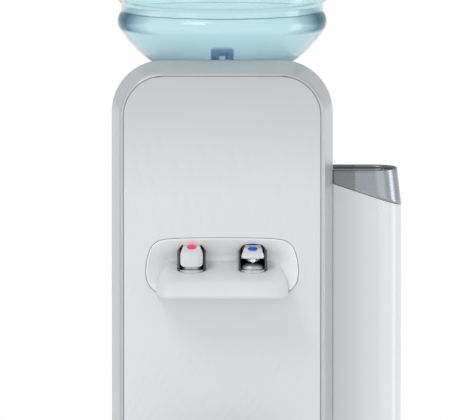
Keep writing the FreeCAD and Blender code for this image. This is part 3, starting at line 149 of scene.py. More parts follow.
class Board:
    # a material's or a world's nodes; node() takes a type, settings, and sockets' values or links
    def __init__(self, name, owner=None):
        self.owner = owner or bpy.data.materials.new(name)
        self.owner.use_nodes = True
        self.tree = self.owner.node_tree
        self.tree.nodes.clear()

    def node(self, kind, settings=None, sockets=None):
        made = self.tree.nodes.new(kind)
        for key, value in (settings or {}).items():
            if key == "stops":
                ramp = made.color_ramp.elements
                for index, (place, color) in enumerate(value):
                    stop = ramp[index] if index < 2 else ramp.new(place)
                    stop.position, stop.color = place, color
            else:
                setattr(made, key, value)
        for key, value in (sockets or {}).items():
            if isinstance(value, Wire):
                self.tree.links.new(value.socket, made.inputs[key])
            else:
                made.inputs[key].default_value = value
        return [Wire(self, socket) for socket in made.outputs]

    def place(self, scale=(1, 1, 1), turn=(0, 0, 0)):
        coords = self.node("ShaderNodeTexCoord")[3]
        return self.node("ShaderNodeMapping", None,
                         {"Vector": coords, "Scale": scale, "Rotation": turn})[0]

    def part(self, vector, axis):
        # one coordinate of a place or a direction
        return self.node("ShaderNodeSeparateXYZ", None, {"Vector": vector})["xyz".index(axis)]

    def noise(self, scale, detail=3.0, where=None):
        return self.node("ShaderNodeTexNoise", None,
                         {"Vector": where or self.place(), "Scale": scale, "Detail": detail,
                          "Roughness": 0.5})[0]

    def mix(self, factor, first, second):
        return self.node("ShaderNodeMix", {"data_type": "RGBA"},
                         {0: factor, 6: first, 7: second})[2]

    def tint(self, factor, color, low, high):
        return self.mix(factor, shade(color, low), shade(color, high))

    def bump(self, height, distance):
        return self.node("ShaderNodeBump", None,
                         {"Height": height, "Distance": distance, "Strength": 1.0})[0]

    def finish(self, **sockets):
        sockets = {key.replace("_", " "): value for key, value in sockets.items()}
        shader = self.node("ShaderNodeBsdfPrincipled", None, sockets)[0]
        self.node("ShaderNodeOutputMaterial", None, {"Surface": shader})
        return self.owner


def shade(color, factor):
    return tuple(min(part * factor, 1.0) for part in color[:3]) + (1.0,)


def linear(red, green, blue):
    # a screen colour, 0 to 255, as the light that it stands for
    def part(value):
        value /= 255
        return value / 12.92 if value <= 0.04045 else ((value + 0.055) / 1.055) ** 2.4
    return (part(red), part(green), part(blue), 1.0)


# finishes

def satinPaint(name, color, flake=0.25, roughness=0.34):
    board = Board(name)
    cloud = board.noise(9.0)
    grain = board.noise(2600.0, 2.0)
    tone = board.tint(cloud, color, 0.97, 1.03)
    tone = board.mix((grain * 0.25).clamp(), tone, shade(color, 1.12))
    return board.finish(Base_Color=tone, Metallic=flake,
                        Roughness=roughness + (cloud - 0.5) * 0.06,
                        Normal=board.bump(board.noise(420.0, 2.0), 0.00004), Coat_Weight=0.25,
                        Coat_Roughness=0.12)


def glossPlastic(name, color, roughness=0.22, ripple=0.00003, scale=160.0):
    board = Board(name)
    cloud = board.noise(7.0)
    tone = board.tint(cloud, color, 0.975, 1.025)
    dust = board.noise(55.0, 4.0)
    return board.finish(Base_Color=tone, Roughness=roughness + (dust - 0.5) * 0.08,
                        Normal=board.bump(board.noise(scale, 2.0), ripple), Coat_Weight=0.3,
                        Coat_Roughness=0.08)


def mattePlastic(name, color, roughness=0.55, grain=0.00006):
    board = Board(name)
    cloud = board.noise(11.0)
    tone = board.tint(cloud, color, 0.93, 1.07)
    spark = board.noise(900.0, 3.0)
    return board.finish(Base_Color=tone, Roughness=roughness + (spark - 0.5) * 0.16,
                        Normal=board.bump(spark, grain))


def brushedSteel(name, color, along="z", roughness=0.3):
    board = Board(name)
    stretch = {"x": (4, 900, 900), "y": (900, 4, 900), "z": (900, 900, 4)}[along]
    brush = board.noise(1.0, 3.0, board.place(stretch))
    cloud = board.noise(12.0)
    tone = board.tint(brush, color, 0.86, 1.1)
    return board.finish(Base_Color=tone, Metallic=1.0,
                        Roughness=roughness + (brush - 0.5) * 0.12 + (cloud - 0.5) * 0.1,
                        Normal=board.bump(brush, 0.00002))


def zincSheet(name, color):
    board = Board(name)
    flakes = board.node("ShaderNodeTexVoronoi", None,
                        {"Vector": board.place(), "Scale": 90.0})[1]
    spangle = board.node("ShaderNodeSeparateColor", None, {"Color": flakes})[0]
    cloud = board.noise(5.0)
    tone = board.tint(spangle, color, 0.88, 1.06)
    return board.finish(Base_Color=tone, Metallic=0.75, Roughness=0.36 + (spangle - 0.5) * 0.14
                        + (cloud - 0.5) * 0.08)


def chrome(name, color, roughness=0.08):
    board = Board(name)
    smear = board.noise(30.0, 4.0)
    tone = board.tint(smear, color, 0.96, 1.04)
    return board.finish(Base_Color=tone, Metallic=1.0,
                        Roughness=roughness + (smear - 0.5) * 0.05)


def softRubber(name, color):
    board = Board(name)
    cloud = board.noise(14.0)
    grain = board.noise(700.0, 3.0)
    tone = board.tint(cloud, color, 0.8, 1.3)
    return board.finish(Base_Color=tone, Roughness=0.72 + (grain - 0.5) * 0.2,
                        Normal=board.bump(grain, 0.00008))


def copperTube(name, color):
    board = Board(name)
    patina = board.noise(28.0, 5.0)
    tone = board.tint((patina * 1.4 - 0.35).clamp(), color, 1.0, 0.55)
    return board.finish(Base_Color=tone, Metallic=0.95, Roughness=0.28 + patina * 0.2,
                        Normal=board.bump(board.noise(350.0), 0.00003))


def beadFoam(name, color):
    board = Board(name)
    beads = board.node("ShaderNodeTexVoronoi", None,
                       {"Vector": board.place(), "Scale": 260.0})[0]
    cloud = board.noise(8.0)
    tone = board.tint(cloud, color, 0.9, 1.05)
    return board.finish(Base_Color=tone, Roughness=0.8 + (cloud - 0.5) * 0.1,
                        Normal=board.bump(beads, 0.0004))


def woolJacket(name, color):
    board = Board(name)
    fibre = board.noise(1.0, 5.0, board.place((60, 60, 700)))
    tone = board.tint(fibre, color, 0.6, 1.25)
    return board.finish(Base_Color=tone, Roughness=0.92 + (fibre - 0.5) * 0.1,
                        Normal=board.bump(fibre, 0.0006))


# the bottle's blue with painted shade: edge for the bead's dark rims, line for its upper crease,
# seat towards the collar, all for light bent through the plastic
bottleFinish = {"middle": linear(229, 249, 255), "edge": linear(22, 94, 124),
                "line": linear(40, 96, 120), "edgeStart": 0.3, "edgeEnd": 0.62,
                "seat": linear(70, 140, 168), "seatTop": 0.983, "seatLow": 0.964,
                "beadLow": 0.999, "beadHigh": 1.0232, "soft": 0.004, "thin": 0.0008,
                "roughness": 0.05, "clear": 0.84, "seatShare": 0.22}


def bottlePlastic(name):
    board = Board(name)
    b = bottleFinish
    # painted shade: the bead's rims turn dark blue as they face away, for the refraction at the
    # bottle's edges
    facing = board.node("ShaderNodeLayerWeight", None, {"Blend": 0.5})[1]
    level = board.part(board.place(), "z")
    bead = ((level - b["beadLow"]) / b["soft"]).clamp() \
        * ((b["beadHigh"] + b["soft"] - level) / b["soft"]).clamp()
    rim = ((facing - b["edgeStart"]) / (b["edgeEnd"] - b["edgeStart"])).clamp() * bead
    # painted shade: a thin dark line along the bead's upper crease, for the refraction there
    paintedCreaseShade = (1 - (level - b["beadHigh"]).math("ABSOLUTE") / b["thin"]).clamp()
    cloud = board.noise(6.0, 2.0)
    middle = board.tint(cloud, b["middle"], 0.97, 1.03)
    tone = board.mix(rim, middle, b["edge"])
    tone = board.mix(paintedCreaseShade, tone, b["line"])
    # painted shade: darker blue towards the seat, where the grey deck shows dimly through the
    # bottle
    seat = ((b["seatTop"] - level) / (b["seatTop"] - b["seatLow"])).clamp()
    tone = board.mix(seat * b["seatShare"], tone, b["seat"])
    return board.finish(Base_Color=tone, Roughness=b["roughness"] + cloud * 0.04,
                        Transmission_Weight=b["clear"], IOR=1.3,
                        Normal=board.bump(board.noise(26.0, 2.0), 0.0002))


panelPaintedShade = {"from": 0.8, "over": 0.15, "share": 0.77}  # painted shade: darker towards the panel's top, where less studio light falls


def pearlPanel(name, color):
    board = Board(name)
    cloud = board.noise(4.0)
    tone = board.tint(cloud, color, 0.985, 1.015)
    # painted shade: the pearl darkens towards the top of the panel
    level = board.part(board.place(), "z")
    rise = ((level - panelPaintedShade["from"]) / panelPaintedShade["over"]).clamp()
    tone = board.mix(rise, tone, shade(color, panelPaintedShade["share"]))
    fine = board.noise(520.0, 2.0)
    return board.finish(Base_Color=tone, Metallic=0.12, Roughness=0.3 + (cloud - 0.5) * 0.05,
                        Normal=board.bump(fine, 0.00003), Coat_Weight=0.35,
                        Coat_Roughness=0.1)


def floorPaint(name):
    # a pale diffuse floor round the object, which fades into the plain white behind it
    board = Board(name)
    seen = board.node("ShaderNodeLightPath")
    away = board.node("ShaderNodeVectorMath", {"operation": "LENGTH"},
                      {0: board.place()})[1]
    plain = board.node("ShaderNodeEmission", None, {"Color": (1, 1, 1, 1), "Strength": 1.0})[0]
    cover = board.node("ShaderNodeBsdfDiffuse", None, {"Color": (0.88, 0.88, 0.88, 1)})[0]
    fade = ((away - studio["fadeFrom"]) / studio["fadeOver"]).clamp()
    direct = (seen[0] + seen[3] + seen[6]).clamp() * fade
    mixed = board.node("ShaderNodeMixShader", None, {0: direct, 1: cover, 2: plain})[0]
    board.node("ShaderNodeOutputMaterial", None, {"Surface": mixed})
    return board.owner


# grids into meshes

def addPiece(name, verts, faces, material, body, smooth=True):
    data = bpy.data.meshes.new(name)
    data.from_pydata(np.asarray(verts, float).reshape(-1, 3).tolist(), [], faces)
    data.materials.append(material)
    data.polygons.foreach_set("use_smooth", np.full(len(data.polygons), smooth))
    data.update()
    piece = placed(name, data)
    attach(piece, body)
    return piece


def gridFaces(rows, columns, closedRows=False, closedColumns=False):
    # quads between neighbours of a rows x columns grid, wrapped round where closed
    index = np.arange(rows * columns).reshape(rows, columns)
    down = np.roll(index, -1, 0) if closedRows else index[1:]
    here = index if closedRows else index[:-1]
    right = np.roll(here, -1, 1)
    far = np.roll(down, -1, 1)
    if not closedColumns:
        here, right, down, far = here[:, :-1], right[:, :-1], down[:, :-1], far[:, :-1]
    return np.stack([here, right, far, down], -1).reshape(-1, 4).tolist()


def closedBand(name, rings, material, smooth=True):
    # rows of points joined into a band that closes on itself, with its two ends shut
    verts = np.stack(rings)
    count, along = verts.shape[:2]
    faces = gridFaces(count, along, closedRows=True)
    faces.append(list(range(0, count * along, along)))
    faces.append(list(range(along - 1, count * along, along))[::-1])
    piece = addPiece(name, verts, faces, material, "cabinet", smooth)
    sealed(piece)
    return piece


def cutFaces(inside, order=(0, 1, 2, 3)):
    # a grid's quads, without those whose corners all lie in the opening
    index = np.arange(inside.size).reshape(inside.shape)
    keep = np.maximum.reduce([inside[:-1, :-1], inside[1:, :-1], inside[:-1, 1:],
                              inside[1:, 1:]]) > 0
    quads = np.stack([index[:-1, :-1], index[:-1, 1:], index[1:, 1:], index[1:, :-1]], -1)
    return quads[keep][:, list(order)].tolist()


def withoutLoose(piece):
    mesh = bmesh.new()
    mesh.from_mesh(piece.data)
    loose = [vert for vert in mesh.verts if not vert.link_faces]
    bmesh.ops.delete(mesh, geom=loose, context="VERTS")
    return mesh


def pullEdges(mesh, edges, axis, level):
    # a wall from these edges to a level along one axis
    for vert in bmesh.ops.extrude_edge_only(mesh, edges=edges)["geom"]:
        if isinstance(vert, bmesh.types.BMVert):
            vert.co[axis] = level


def archLine(half, low, high, corner, sides=60, arcs=28, tops=30):
    # an arch outline from its left foot over the top to its right foot, as (x, z) points
    rise = np.linspace(low, high - corner, sides, endpoint=False)
    turn = np.linspace(0, math.pi / 2, arcs, endpoint=False)
    across = np.linspace(corner - half, half - corner, tops, endpoint=False)
    left = np.stack([np.full(sides, -half), rise], -1)
    bend = np.stack([corner - half - corner * np.cos(turn),
                     high - corner + corner * np.sin(turn)], -1)
    top = np.stack([across, np.full(tops, high)], -1)
    other = np.stack([half - corner + corner * np.sin(turn),
                      high - corner + corner * np.cos(turn)], -1)
    right = np.stack([np.full(sides + 1, half),
                      np.linspace(high - corner, low, sides + 1)], -1)
    return np.concatenate([left, bend, top, other, right])


def turned(name, profile, material, body, centre=(0, 0), around=96):
    # a closed or pole-ended profile of (radius, height) turned about a vertical axis
    profile = np.asarray(profile, float)
    turn = np.linspace(0, 2 * math.pi, around, endpoint=False)
    x = centre[0] + profile[:, :1] * np.cos(turn)
    y = centre[1] + profile[:, :1] * np.sin(turn)
    z = np.repeat(profile[:, 1:], around, 1)
    verts = np.stack([x, y, z], -1)
    faces = gridFaces(len(profile), around, closedColumns=True)
    piece = addPiece(name, verts, faces, material, body)
    sealed(piece)
    return piece


def sealed(piece):
    # doubles merged, then faces turned outwards
    mesh = bmesh.new()
    mesh.from_mesh(piece.data)
    bmesh.ops.remove_doubles(mesh, verts=mesh.verts, dist=0.00001)
    bmesh.ops.recalc_face_normals(mesh, faces=mesh.faces)
    mesh.to_mesh(piece.data)
    mesh.free()


def softCopy(node, width, material, segments=2, angle=32):
    # a merged copy of a CAD node's mesh with its hard edges rounded off
    source = nodes[node]
    mesh = bmesh.new()
    mesh.from_mesh(source.data)
    bmesh.ops.remove_doubles(mesh, verts=mesh.verts, dist=0.00001)
    bmesh.ops.dissolve_limit(mesh, angle_limit=math.radians(1.0), verts=mesh.verts,
                             edges=mesh.edges)
    data = bpy.data.meshes.new(node + "_soft")
    mesh.to_mesh(data)
    mesh.free()
    data.materials.clear()
    data.materials.append(material)
    data.polygons.foreach_set("use_smooth", np.full(len(data.polygons), True))
    piece = placed(node + "_soft", data)
    bevel = piece.modifiers.new("edges", "BEVEL")
    bevel.width, bevel.segments = width, segments
    bevel.limit_method, bevel.angle_limit = "ANGLE", math.radians(angle)
    bevel.use_clamp_overlap = True
    even = piece.modifiers.new("normals", "WEIGHTED_NORMAL")
    even.keep_sharp = True
    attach(piece, source["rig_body"])
    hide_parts(node)
    return piece


print("tools ready")


# bottle: the profile of the solid, drawn finer and with softer rings

bottle = {"neck": 0.0275, "neckBore": 0.0255, "groove": 0.1302, "barrel": 0.1354,
          "wall": 0.0026, "neckLong": 0.036, "flare": (0.034, 0.0115), "seat": (0.070, 0.061),
          "shoulder": (0.1153, 0.090), "sag": 0.0042, "beadLow": 0.1085, "beadHigh": 0.0255,
          "beadBulge": 0.0049, "grooveHigh": 0.016, "grooveDip": 0.0011, "bandHigh": 0.062,
          "firstGroove": 0.0085, "bandEase": 0.0085, "bands": 4, "baseRound": 0.028}


def bow(start, end, rise, count):
    # points along a chord, pushed sideways by a parabola: to its right for a rise above zero
    start, end = np.asarray(start, float), np.asarray(end, float)
    share = np.linspace(0, 1, count, endpoint=False)[:, None]
    along = end - start
    side = np.array([along[1], -along[0]]) / np.hypot(*along)
    return start + along * share + side * rise * 4 * share * (1 - share)


def swell(start, end, count=10):
    # from one radius to another along a curve that leaves and arrives upright
    share = np.linspace(0, 1, count, endpoint=False)
    ease = share ** 2 * (3 - 2 * share)
    return np.stack([start[0] + (end[0] - start[0]) * ease,
                     start[1] + (end[1] - start[1]) * share], -1)


def bottleProfile(low, high):
    b = bottle
    level = low + b["beadLow"]
    neck = (b["neck"], low + b["neckLong"])
    flare = (b["flare"][0], neck[1] + b["flare"][1])
    seat, shoulder = [(b[name][0], low + b[name][1]) for name in ("seat", "shoulder")]
    bead, top = (b["groove"], level), (b["groove"], level + b["beadHigh"])
    parts = [bow((b["neck"], low), neck, 0, 6), bow(neck, flare, -0.0012, 8),
             bow(flare, seat, 0, 6), bow(seat, shoulder, b["sag"], 14),
             bow(shoulder, bead, 0.0004, 8), bow(bead, top, b["beadBulge"], 18)]
    level += b["beadHigh"]
    for band in range(b["bands"]):
        tall = b["grooveHigh"] if band else b["firstGroove"]
        dip = -b["grooveDip"] if band else 0
        parts.append(bow((b["groove"], level), (b["groove"], level + tall), dip, 8))
        ease, over = b["bandEase"], level + b["grooveHigh"] + b["bandHigh"]
        parts.append(swell((b["groove"], level + tall), (b["barrel"], level + tall + ease)))
        top = high - b["baseRound"] if band == b["bands"] - 1 else over - ease
        parts.append(bow((b["barrel"], level + tall + ease), (b["barrel"], top), 0, 8))
        if band < b["bands"] - 1:
            level = over
            parts.append(swell((b["barrel"], top), (b["groove"], level)))
    turn = np.linspace(0, math.pi / 2, 14, endpoint=False)
    radius = b["baseRound"]
    parts.append(np.stack([b["barrel"] - radius + radius * np.cos(turn),
                           high - radius + radius * np.sin(turn)], -1))
    dish = np.linspace(b["barrel"] - radius, 0, 24)
    parts.append(np.stack([dish, high - 0.004 * (1 - (dish / dish[0]) ** 2) ** 2], -1))
    return np.concatenate(parts)


def addBottle():
    low, high = (corner[2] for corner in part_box("bottle"))
    outer = bottleProfile(low, high)
    step = np.gradient(outer, axis=0)
    side = np.stack([-step[:, 1], step[:, 0]], -1) / np.hypot(step[:, 0], step[:, 1])[:, None]
    inner = outer + side * bottle["wall"]
    inner[:, 0] = np.clip(inner[:, 0], 0, None)
    keep = inner[:, 1] > low + bottle["neckLong"]
    neck = [(bottle["neckBore"], low), (bottle["neckBore"], low + bottle["neckLong"])]
    inside = np.concatenate([np.asarray(neck), inner[keep][3:]])
    inside[-1, 0] = 0
    profile = np.concatenate([inside[::-1], outer])
    piece = turned("bottle_shell", profile, bottlePlastic("bottle_blue"), "bottle", around=144)
    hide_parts("bottle")


addBottle()
print("bottle made")


# arch frame: a closed profile of (inset, y) carried along the arch

arch = {"half": 0.1415, "high": 0.970, "corner": 0.067, "foot": 0.012, "inset": 0.0135,
        "wall": 0.002, "edge": 0.0022, "bow": 0.0006, "noseShare": 0.35}


def addArch():
    a = arch
    back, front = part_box("arch_frame")[1][1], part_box("arch_frame")[0][1]
    deep, edge, wall = back - front, a["edge"], a["wall"]
    turn = np.linspace(0, math.pi / 2, 6)
    slope = a["inset"] / deep
    share = np.linspace(0.004, 1, 12)
    face = np.stack([a["inset"] * share * (1 - edge / a["inset"])
                     - a["bow"] * np.sin(math.pi * share), back - (deep - edge) * share], -1)
    nose = np.stack([a["inset"] - edge * np.cos(turn) + edge * a["noseShare"],
                     front + edge - edge * np.sin(turn)], -1)
    lip = a["inset"] + wall
    rest = [(lip, front + 0.0006), (lip - slope * 0.004, front + 0.005), (wall, back)]
    profile = np.concatenate([face, nose, rest])
    profile[:, 0] = np.clip(profile[:, 0], 0, None)
    rings = [np.insert(archLine(a["half"] - inset, a["foot"], a["high"] - inset,
                                a["corner"] - inset), 1, y, axis=1) for inset, y in profile]
    piece = closedBand("arch_band", rings, satinPaint("arch_silver", linear(186, 188, 190)))
    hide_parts("arch_frame")


addArch()
print("arch frame made")


# console: the seam round it, which the front panel's opening follows too

console = {"seam": ((0, 0.747), (0.04, 0.7468), (0.062, 0.7462), (0.0775, 0.7442),
                    (0.0853, 0.7404), (0.0908, 0.7342), (0.0946, 0.7237), (0.0966, 0.7125),
                    (0.097, 0.7026), (0.0955, 0.6925), (0.0914, 0.6848), (0.0845, 0.679),
                    (0.0745, 0.6745), (0.06, 0.6722), (0.03, 0.6715), (0, 0.6714)),
           "rim": 0.0014, "floorShare": 0.765, "floorTop": 0.722, "floorLow": 0.682,
           "middle": 0.703, "deep": 0.022, "half": 0.0845, "taper": 0.014, "side": 0.018,
           "ledgeBack": 0.7108, "fall": 0.226, "flat": 0.052, "drop": 0.0186, "lip": 0.0050,
           "under": 0.0045, "step": 0.0012, "tapBore": 0.0188, "tapBack": 0.0185,
           "boreSunk": 0.008, "roll": (0.37, 2.6), "hollow": (0.005, 0.003), "tuck": 0.0028,
           "behind": 0.0012, "rimOut": 0.0004, "rimRound": 0.0007, "wallBend": (1.22, 0.22)}


def softLoop(points, count):
    # a closed smooth curve through the points: each run bends by its neighbours' slopes
    points = np.asarray(points, float)
    before, after = np.roll(points, 1, 0), np.roll(points, -1, 0)
    beyond = np.roll(points, -2, 0)
    share = (np.arange(count) / count)[:, None, None]
    line = 0.5 * (2 * points + (after - before) * share
                  + (2 * before - 5 * points + 4 * after - beyond) * share ** 2
                  + (3 * points - before - 3 * after + beyond) * share ** 3)
    return line.transpose(1, 0, 2).reshape(-1, 2)


def seamLine():
    half = list(console["seam"])
    return softLoop(half + [(-x, z) for x, z in half[-2:0:-1]], 9)


# front panel: a fine sheet with the slanting ripples pressed into it

panel = {"inset": 0.0159, "step": 0.0017, "edge": 0.0008, "gap": 0.0006, "margin": 0.006,
         "ripple": 0.0072, "height": 0.0002, "seed": 11, "lean": (63, 9, 12),
         "leanFrom": (-0.12, 0.8), "leanOver": (0.24, 0.3), "wander": 0.0016, "bend": 0.05,
         "streak": (2.6, 0.034), "patch": 0.12, "fadeTop": 0.925, "fadeOver": 0.06}


def softNoise(x, z, size, seed):
    # smooth random bumps: a sum of a few slow waves in random directions
    rng = np.random.default_rng(seed)
    total = np.zeros_like(x)
    for _ in range(9):
        angle, phase = rng.uniform(0, math.pi * 2, 2)
        pace = 2 * math.pi / (size * rng.uniform(0.7, 1.6))
        total += np.sin(pace * (x * math.cos(angle) + z * math.sin(angle)) + phase)
    return total / 4.5


def ripples(x, z):
    # waves that cross a slanted line, bent by slow noise and broken into short streaks
    p = panel
    lean, across, up = np.radians(p["lean"])
    start, over = p["leanFrom"], p["leanOver"]
    lean = lean - across * (x - start[0]) / over[0] + up * (z - start[1]) / over[1]
    across = x * np.sin(lean) - z * np.cos(lean)
    along = x * np.cos(lean) + z * np.sin(lean)
    across += p["wander"] * softNoise(x, z, p["bend"], p["seed"])
    wave = np.sin(2 * math.pi * across / p["ripple"])
    pace, size = p["streak"]
    streak = softNoise(across * pace, along, size, p["seed"] + 1)
    patch = softNoise(x, z, p["patch"], p["seed"] + 2)
    share = np.clip(0.55 + 0.5 * streak, 0, 1) * np.clip(0.75 + 0.35 * patch, 0.2, 1.2)
    fade = np.clip((p["fadeTop"] - z) / p["fadeOver"], 0, 1)
    return wave * share * fade * p["height"]


def seamGap(x, z):
    # distance outside the seam, below zero inside, and the stretch that moves a point onto it
    loop = seamLine() - (0, console["middle"])
    step = np.roll(loop, -1, 0) - np.roll(loop, 1, 0)
    radius = np.hypot(*loop.T)
    cross = step[:, 1] * loop[:, 0] - step[:, 0] * loop[:, 1]
    facing = np.abs(cross) / np.hypot(*step.T) / radius
    angle = np.arctan2(loop[:, 1], loop[:, 0])
    here = np.arctan2(z - console["middle"], x)
    facing = np.interp(here, angle, facing, period=2 * math.pi)
    reach = np.interp(here, angle, radius, period=2 * math.pi) + panel["gap"] / facing
    span = np.hypot(x, z - console["middle"])
    return (span - reach) * facing, reach / np.maximum(span, 1e-6)


def addPanel():
    p = panel
    low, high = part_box("front_panel")
    half, top = high[0], high[2]
    corner = arch["corner"] - p["inset"]
    columns = round(2 * half / p["step"]) + 1
    rows = round((top - low[2]) / p["step"]) + 1
    level = np.linspace(low[2], top, rows)[:, None]
    over = np.clip(level - (top - corner), 0, corner)
    width = half - corner + np.sqrt(np.clip(corner ** 2 - over ** 2, 0, None))
    share = np.linspace(-1, 1, columns)[None]
    x = width * share
    z = level + 0 * share
    inside, stretch = seamGap(x, z)
    faces = cutFaces(inside)
    snap = (inside < 0) & (inside > -p["step"] * 1.5)
    x = np.where(snap, x * stretch, x)
    z = np.where(snap, console["middle"] + (z - console["middle"]) * stretch, z)
    inside = np.where(snap, 0, inside)
    rim = np.minimum(width - np.abs(width * share), 0.01)
    edge = np.minimum(np.minimum(rim, top - level + 0 * share), np.abs(inside))
    ease = np.clip(1 - edge / p["edge"], 0, 1) ** 2 * p["edge"] * 0.6
    y = low[1] + ease - ripples(x, z) * np.clip(edge / p["margin"], 0, 1)
    verts = np.stack([x, y, z], -1)
    piece = addPiece("front_sheet", verts, faces, pearlPanel("panel_pearl",
                     linear(216, 218, 220)), "cabinet")
    mesh = withoutLoose(piece)
    pullEdges(mesh, [line for line in mesh.edges if line.is_boundary], 1, high[1])
    mesh.to_mesh(piece.data)
    mesh.free()
    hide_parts("front_panel")


addPanel()
print("front panel made")


# console: a dished recess with a sloping ledge that juts out of it

def ringShell(name, rings, material, body):
    # rings of equal length joined into a skin, each ring an array of points
    verts = np.stack(rings)
    faces = gridFaces(*verts.shape[:2], closedColumns=True)
    return addPiece(name, verts, faces, material, body)


def recessRings():
    c = console
    back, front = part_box("console")[1][1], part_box("front_panel")[0][1]
    outline = seamLine()
    centre = np.array((0, c["middle"]))
    spread = outline - centre
    lift = np.where(spread[:, 1] > 0, (c["floorTop"] - c["middle"]) / spread[:, 1].max(),
                    (c["floorLow"] - c["middle"]) / spread[:, 1].min())
    floor = centre + spread * np.stack([np.full(len(spread), c["floorShare"]), lift], -1)
    toward = floor - outline
    length = np.hypot(*toward.T)[:, None]
    mouth = outline + toward / length * c["rim"]
    toward = floor - mouth

    def ring(line, y):
        return np.concatenate([line[:, :1], np.broadcast_to(y, (len(line), 1)), line[:, 1:]], 1)
    rings = [ring(outline, back), ring(outline, front + c["behind"])]
    for turn in np.linspace(0, math.pi, 7):
        rings.append(ring(outline + (mouth - outline) * (1 - math.cos(turn)) / 2,
                          front + c["rimOut"] - c["rimRound"] * math.sin(turn)))
    steep, ease = c["wallBend"]
    inner = [ring(mouth + toward * share, front + c["deep"] * share * (steep - ease * share))
             for share in np.linspace(0.02, 1, 26)]
    deepest = front + c["deep"]
    for inset in (0.05, 0.12, 0.2, 0.4, 0.7, 1):
        inner.append(ring(floor + (centre - floor) * inset, deepest + 0.0002))
    for _ in range(3):
        inner = [inner[0]] + [(a + b * 2 + d) / 4 for a, b, d in
                              zip(inner, inner[1:], inner[2:])] + [inner[-1]]
    return rings + inner


def ledgeTop(y, back):
    # height of the ledge at a depth: a hollow at the wall, a slope, then a rolled nose
    c = console
    out = back - y
    share = np.clip((out - c["flat"]) / c["nose"], 0, 1)
    level = c["ledgeBack"] - np.minimum(out, c["flat"]) * c["fall"]
    even, power = c["roll"]
    level = level - c["drop"] * (share * even + (1 - even) * share ** power)
    return level + c["hollow"][0] * np.exp(-out / c["hollow"][1])


def tapSpots():
    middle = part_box("tap_housings")[1][1] - console["tapBack"]
    return [(sum(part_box(f"{name}_marker")[side][0] for side in (0, 1)) / 2, middle)
            for name in ("hot", "cold")]


def addConsole():
    c = console
    # painted light: the recess gets a whiter copy of the console plastic than the ledge, to lift
    # the shade inside it
    material = mattePlastic("console_pearl", linear(247, 248, 250), 0.46, 0.00002)
    recess = ringShell("console_recess", recessRings(), material, "cabinet")
    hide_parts("console")
    tip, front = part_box("console")[0][1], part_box("front_panel")[0][1]
    back = front + c["deep"]
    c["nose"] = back - tip - c["flat"]
    rows = round((back - tip) / c["step"]) + 1
    columns = round(2 * c["half"] / c["step"]) + 1
    y = np.linspace(back, tip, rows)[:, None]
    out = np.clip((front - y) / (front - tip), 0, 1)
    width = c["half"] - c["taper"] * (1 - np.sqrt(1 - out ** 2 * 0.9999))
    share = np.linspace(-1, 1, columns)[None]
    share = np.sign(share) * (1 - (1 - np.abs(share)) ** 1.18)
    x, y = width * share, y + 0 * share
    spots = tapSpots()
    around = np.minimum(*[np.hypot(x - spot, y - row) - c["tapBore"] for spot, row in spots])
    faces = cutFaces(around, (0, 3, 2, 1))
    for spot, row in spots:
        span = np.hypot(x - spot, y - row)
        near = (span < c["tapBore"]) & (span > c["tapBore"] - c["step"] * 1.5)
        grow = np.where(near, c["tapBore"] / np.maximum(span, 1e-6), 1)
        x, y = spot + (x - spot) * grow, row + (y - row) * grow
    level = ledgeTop(y, back)
    base = ledgeTop(np.array(tip), back) - c["lip"] - c["under"] * (y - tip) / (back - tip)
    rim = np.clip(1 - (width - np.abs(width * share)) / c["side"], 0, 1)
    top = level - (level - base - c["lip"]) * (1 - np.sqrt(1 - rim ** 2 * 0.9999))
    verts = np.stack([x, y, top], -1).reshape(-1, 3)
    index = np.arange(rows * columns).reshape(rows, columns)
    loop = np.concatenate([index[:, 0], index[-1, 1:], index[::-1, -1][1:]])
    floor = base.reshape(-1)[loop]
    walls, start, previous = [verts], len(verts), loop
    for turn in np.linspace(0, math.pi / 2, 6)[1:]:
        ring = verts[loop].copy()
        ring[:, 2] = ring[:, 2] + (floor - ring[:, 2]) * math.sin(turn)
        tuck = c["tuck"] * (1 - math.cos(turn))
        ring[:, 0] *= 1 - tuck / c["half"]
        ring[:, 1] += tuck * np.clip((front - ring[:, 1]) / 0.02, 0, 1)
        walls.append(ring)
        here = np.arange(len(loop)) + start
        start += len(loop)
        faces += np.stack([previous[:-1], here[:-1], here[1:], previous[1:]], -1).tolist()
        previous = here
    faces.append(previous[::-1].tolist())
    # painted shade: the ledge's copy of the same plastic is greyer, to dim its lit slope and nose
    shelf = mattePlastic("console_shelf", linear(220, 222, 225), 0.46, 0.00002)
    piece = addPiece("console_ledge", np.concatenate(walls), faces, shelf, "cabinet")
    mesh = withoutLoose(piece)
    bore = [line for line in mesh.edges if line.is_boundary
            and all(abs(min(math.hypot(v.co.x - spot, v.co.y - row) for spot, row in spots)
                        - c["tapBore"]) < 0.0002 for v in line.verts)]
    pullEdges(mesh, bore, 2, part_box("tap_housings")[0][2] - c["boreSunk"])
    bmesh.ops.recalc_face_normals(mesh, faces=mesh.faces)
    mesh.to_mesh(piece.data)
    mesh.free()


addConsole()
print("console made")


# cup dispenser at the right side: a shell and a metallic cap, parted by a slanted joint

# the cap's colours: dark and top are painted reflections, grey is the cap's own paint
cup = {"corner": 0.032, "edge": 0.003, "wall": 0.0025, "left": 0.017, "right": 0.047,
       "pull": 0.0053, "dish": 0.0036, "lip": 0.0022, "gap": 0.0001, "round": 0.0012,
       "foot": 0.003, "rim": 0.0008, "boreGap": 0.0002, "shadeSoft": 0.0014,
       "shadeAt": 0.1705, "dark": linear(124, 128, 129), "grey": linear(153, 157, 164),
       "top": linear(92, 93, 96)}


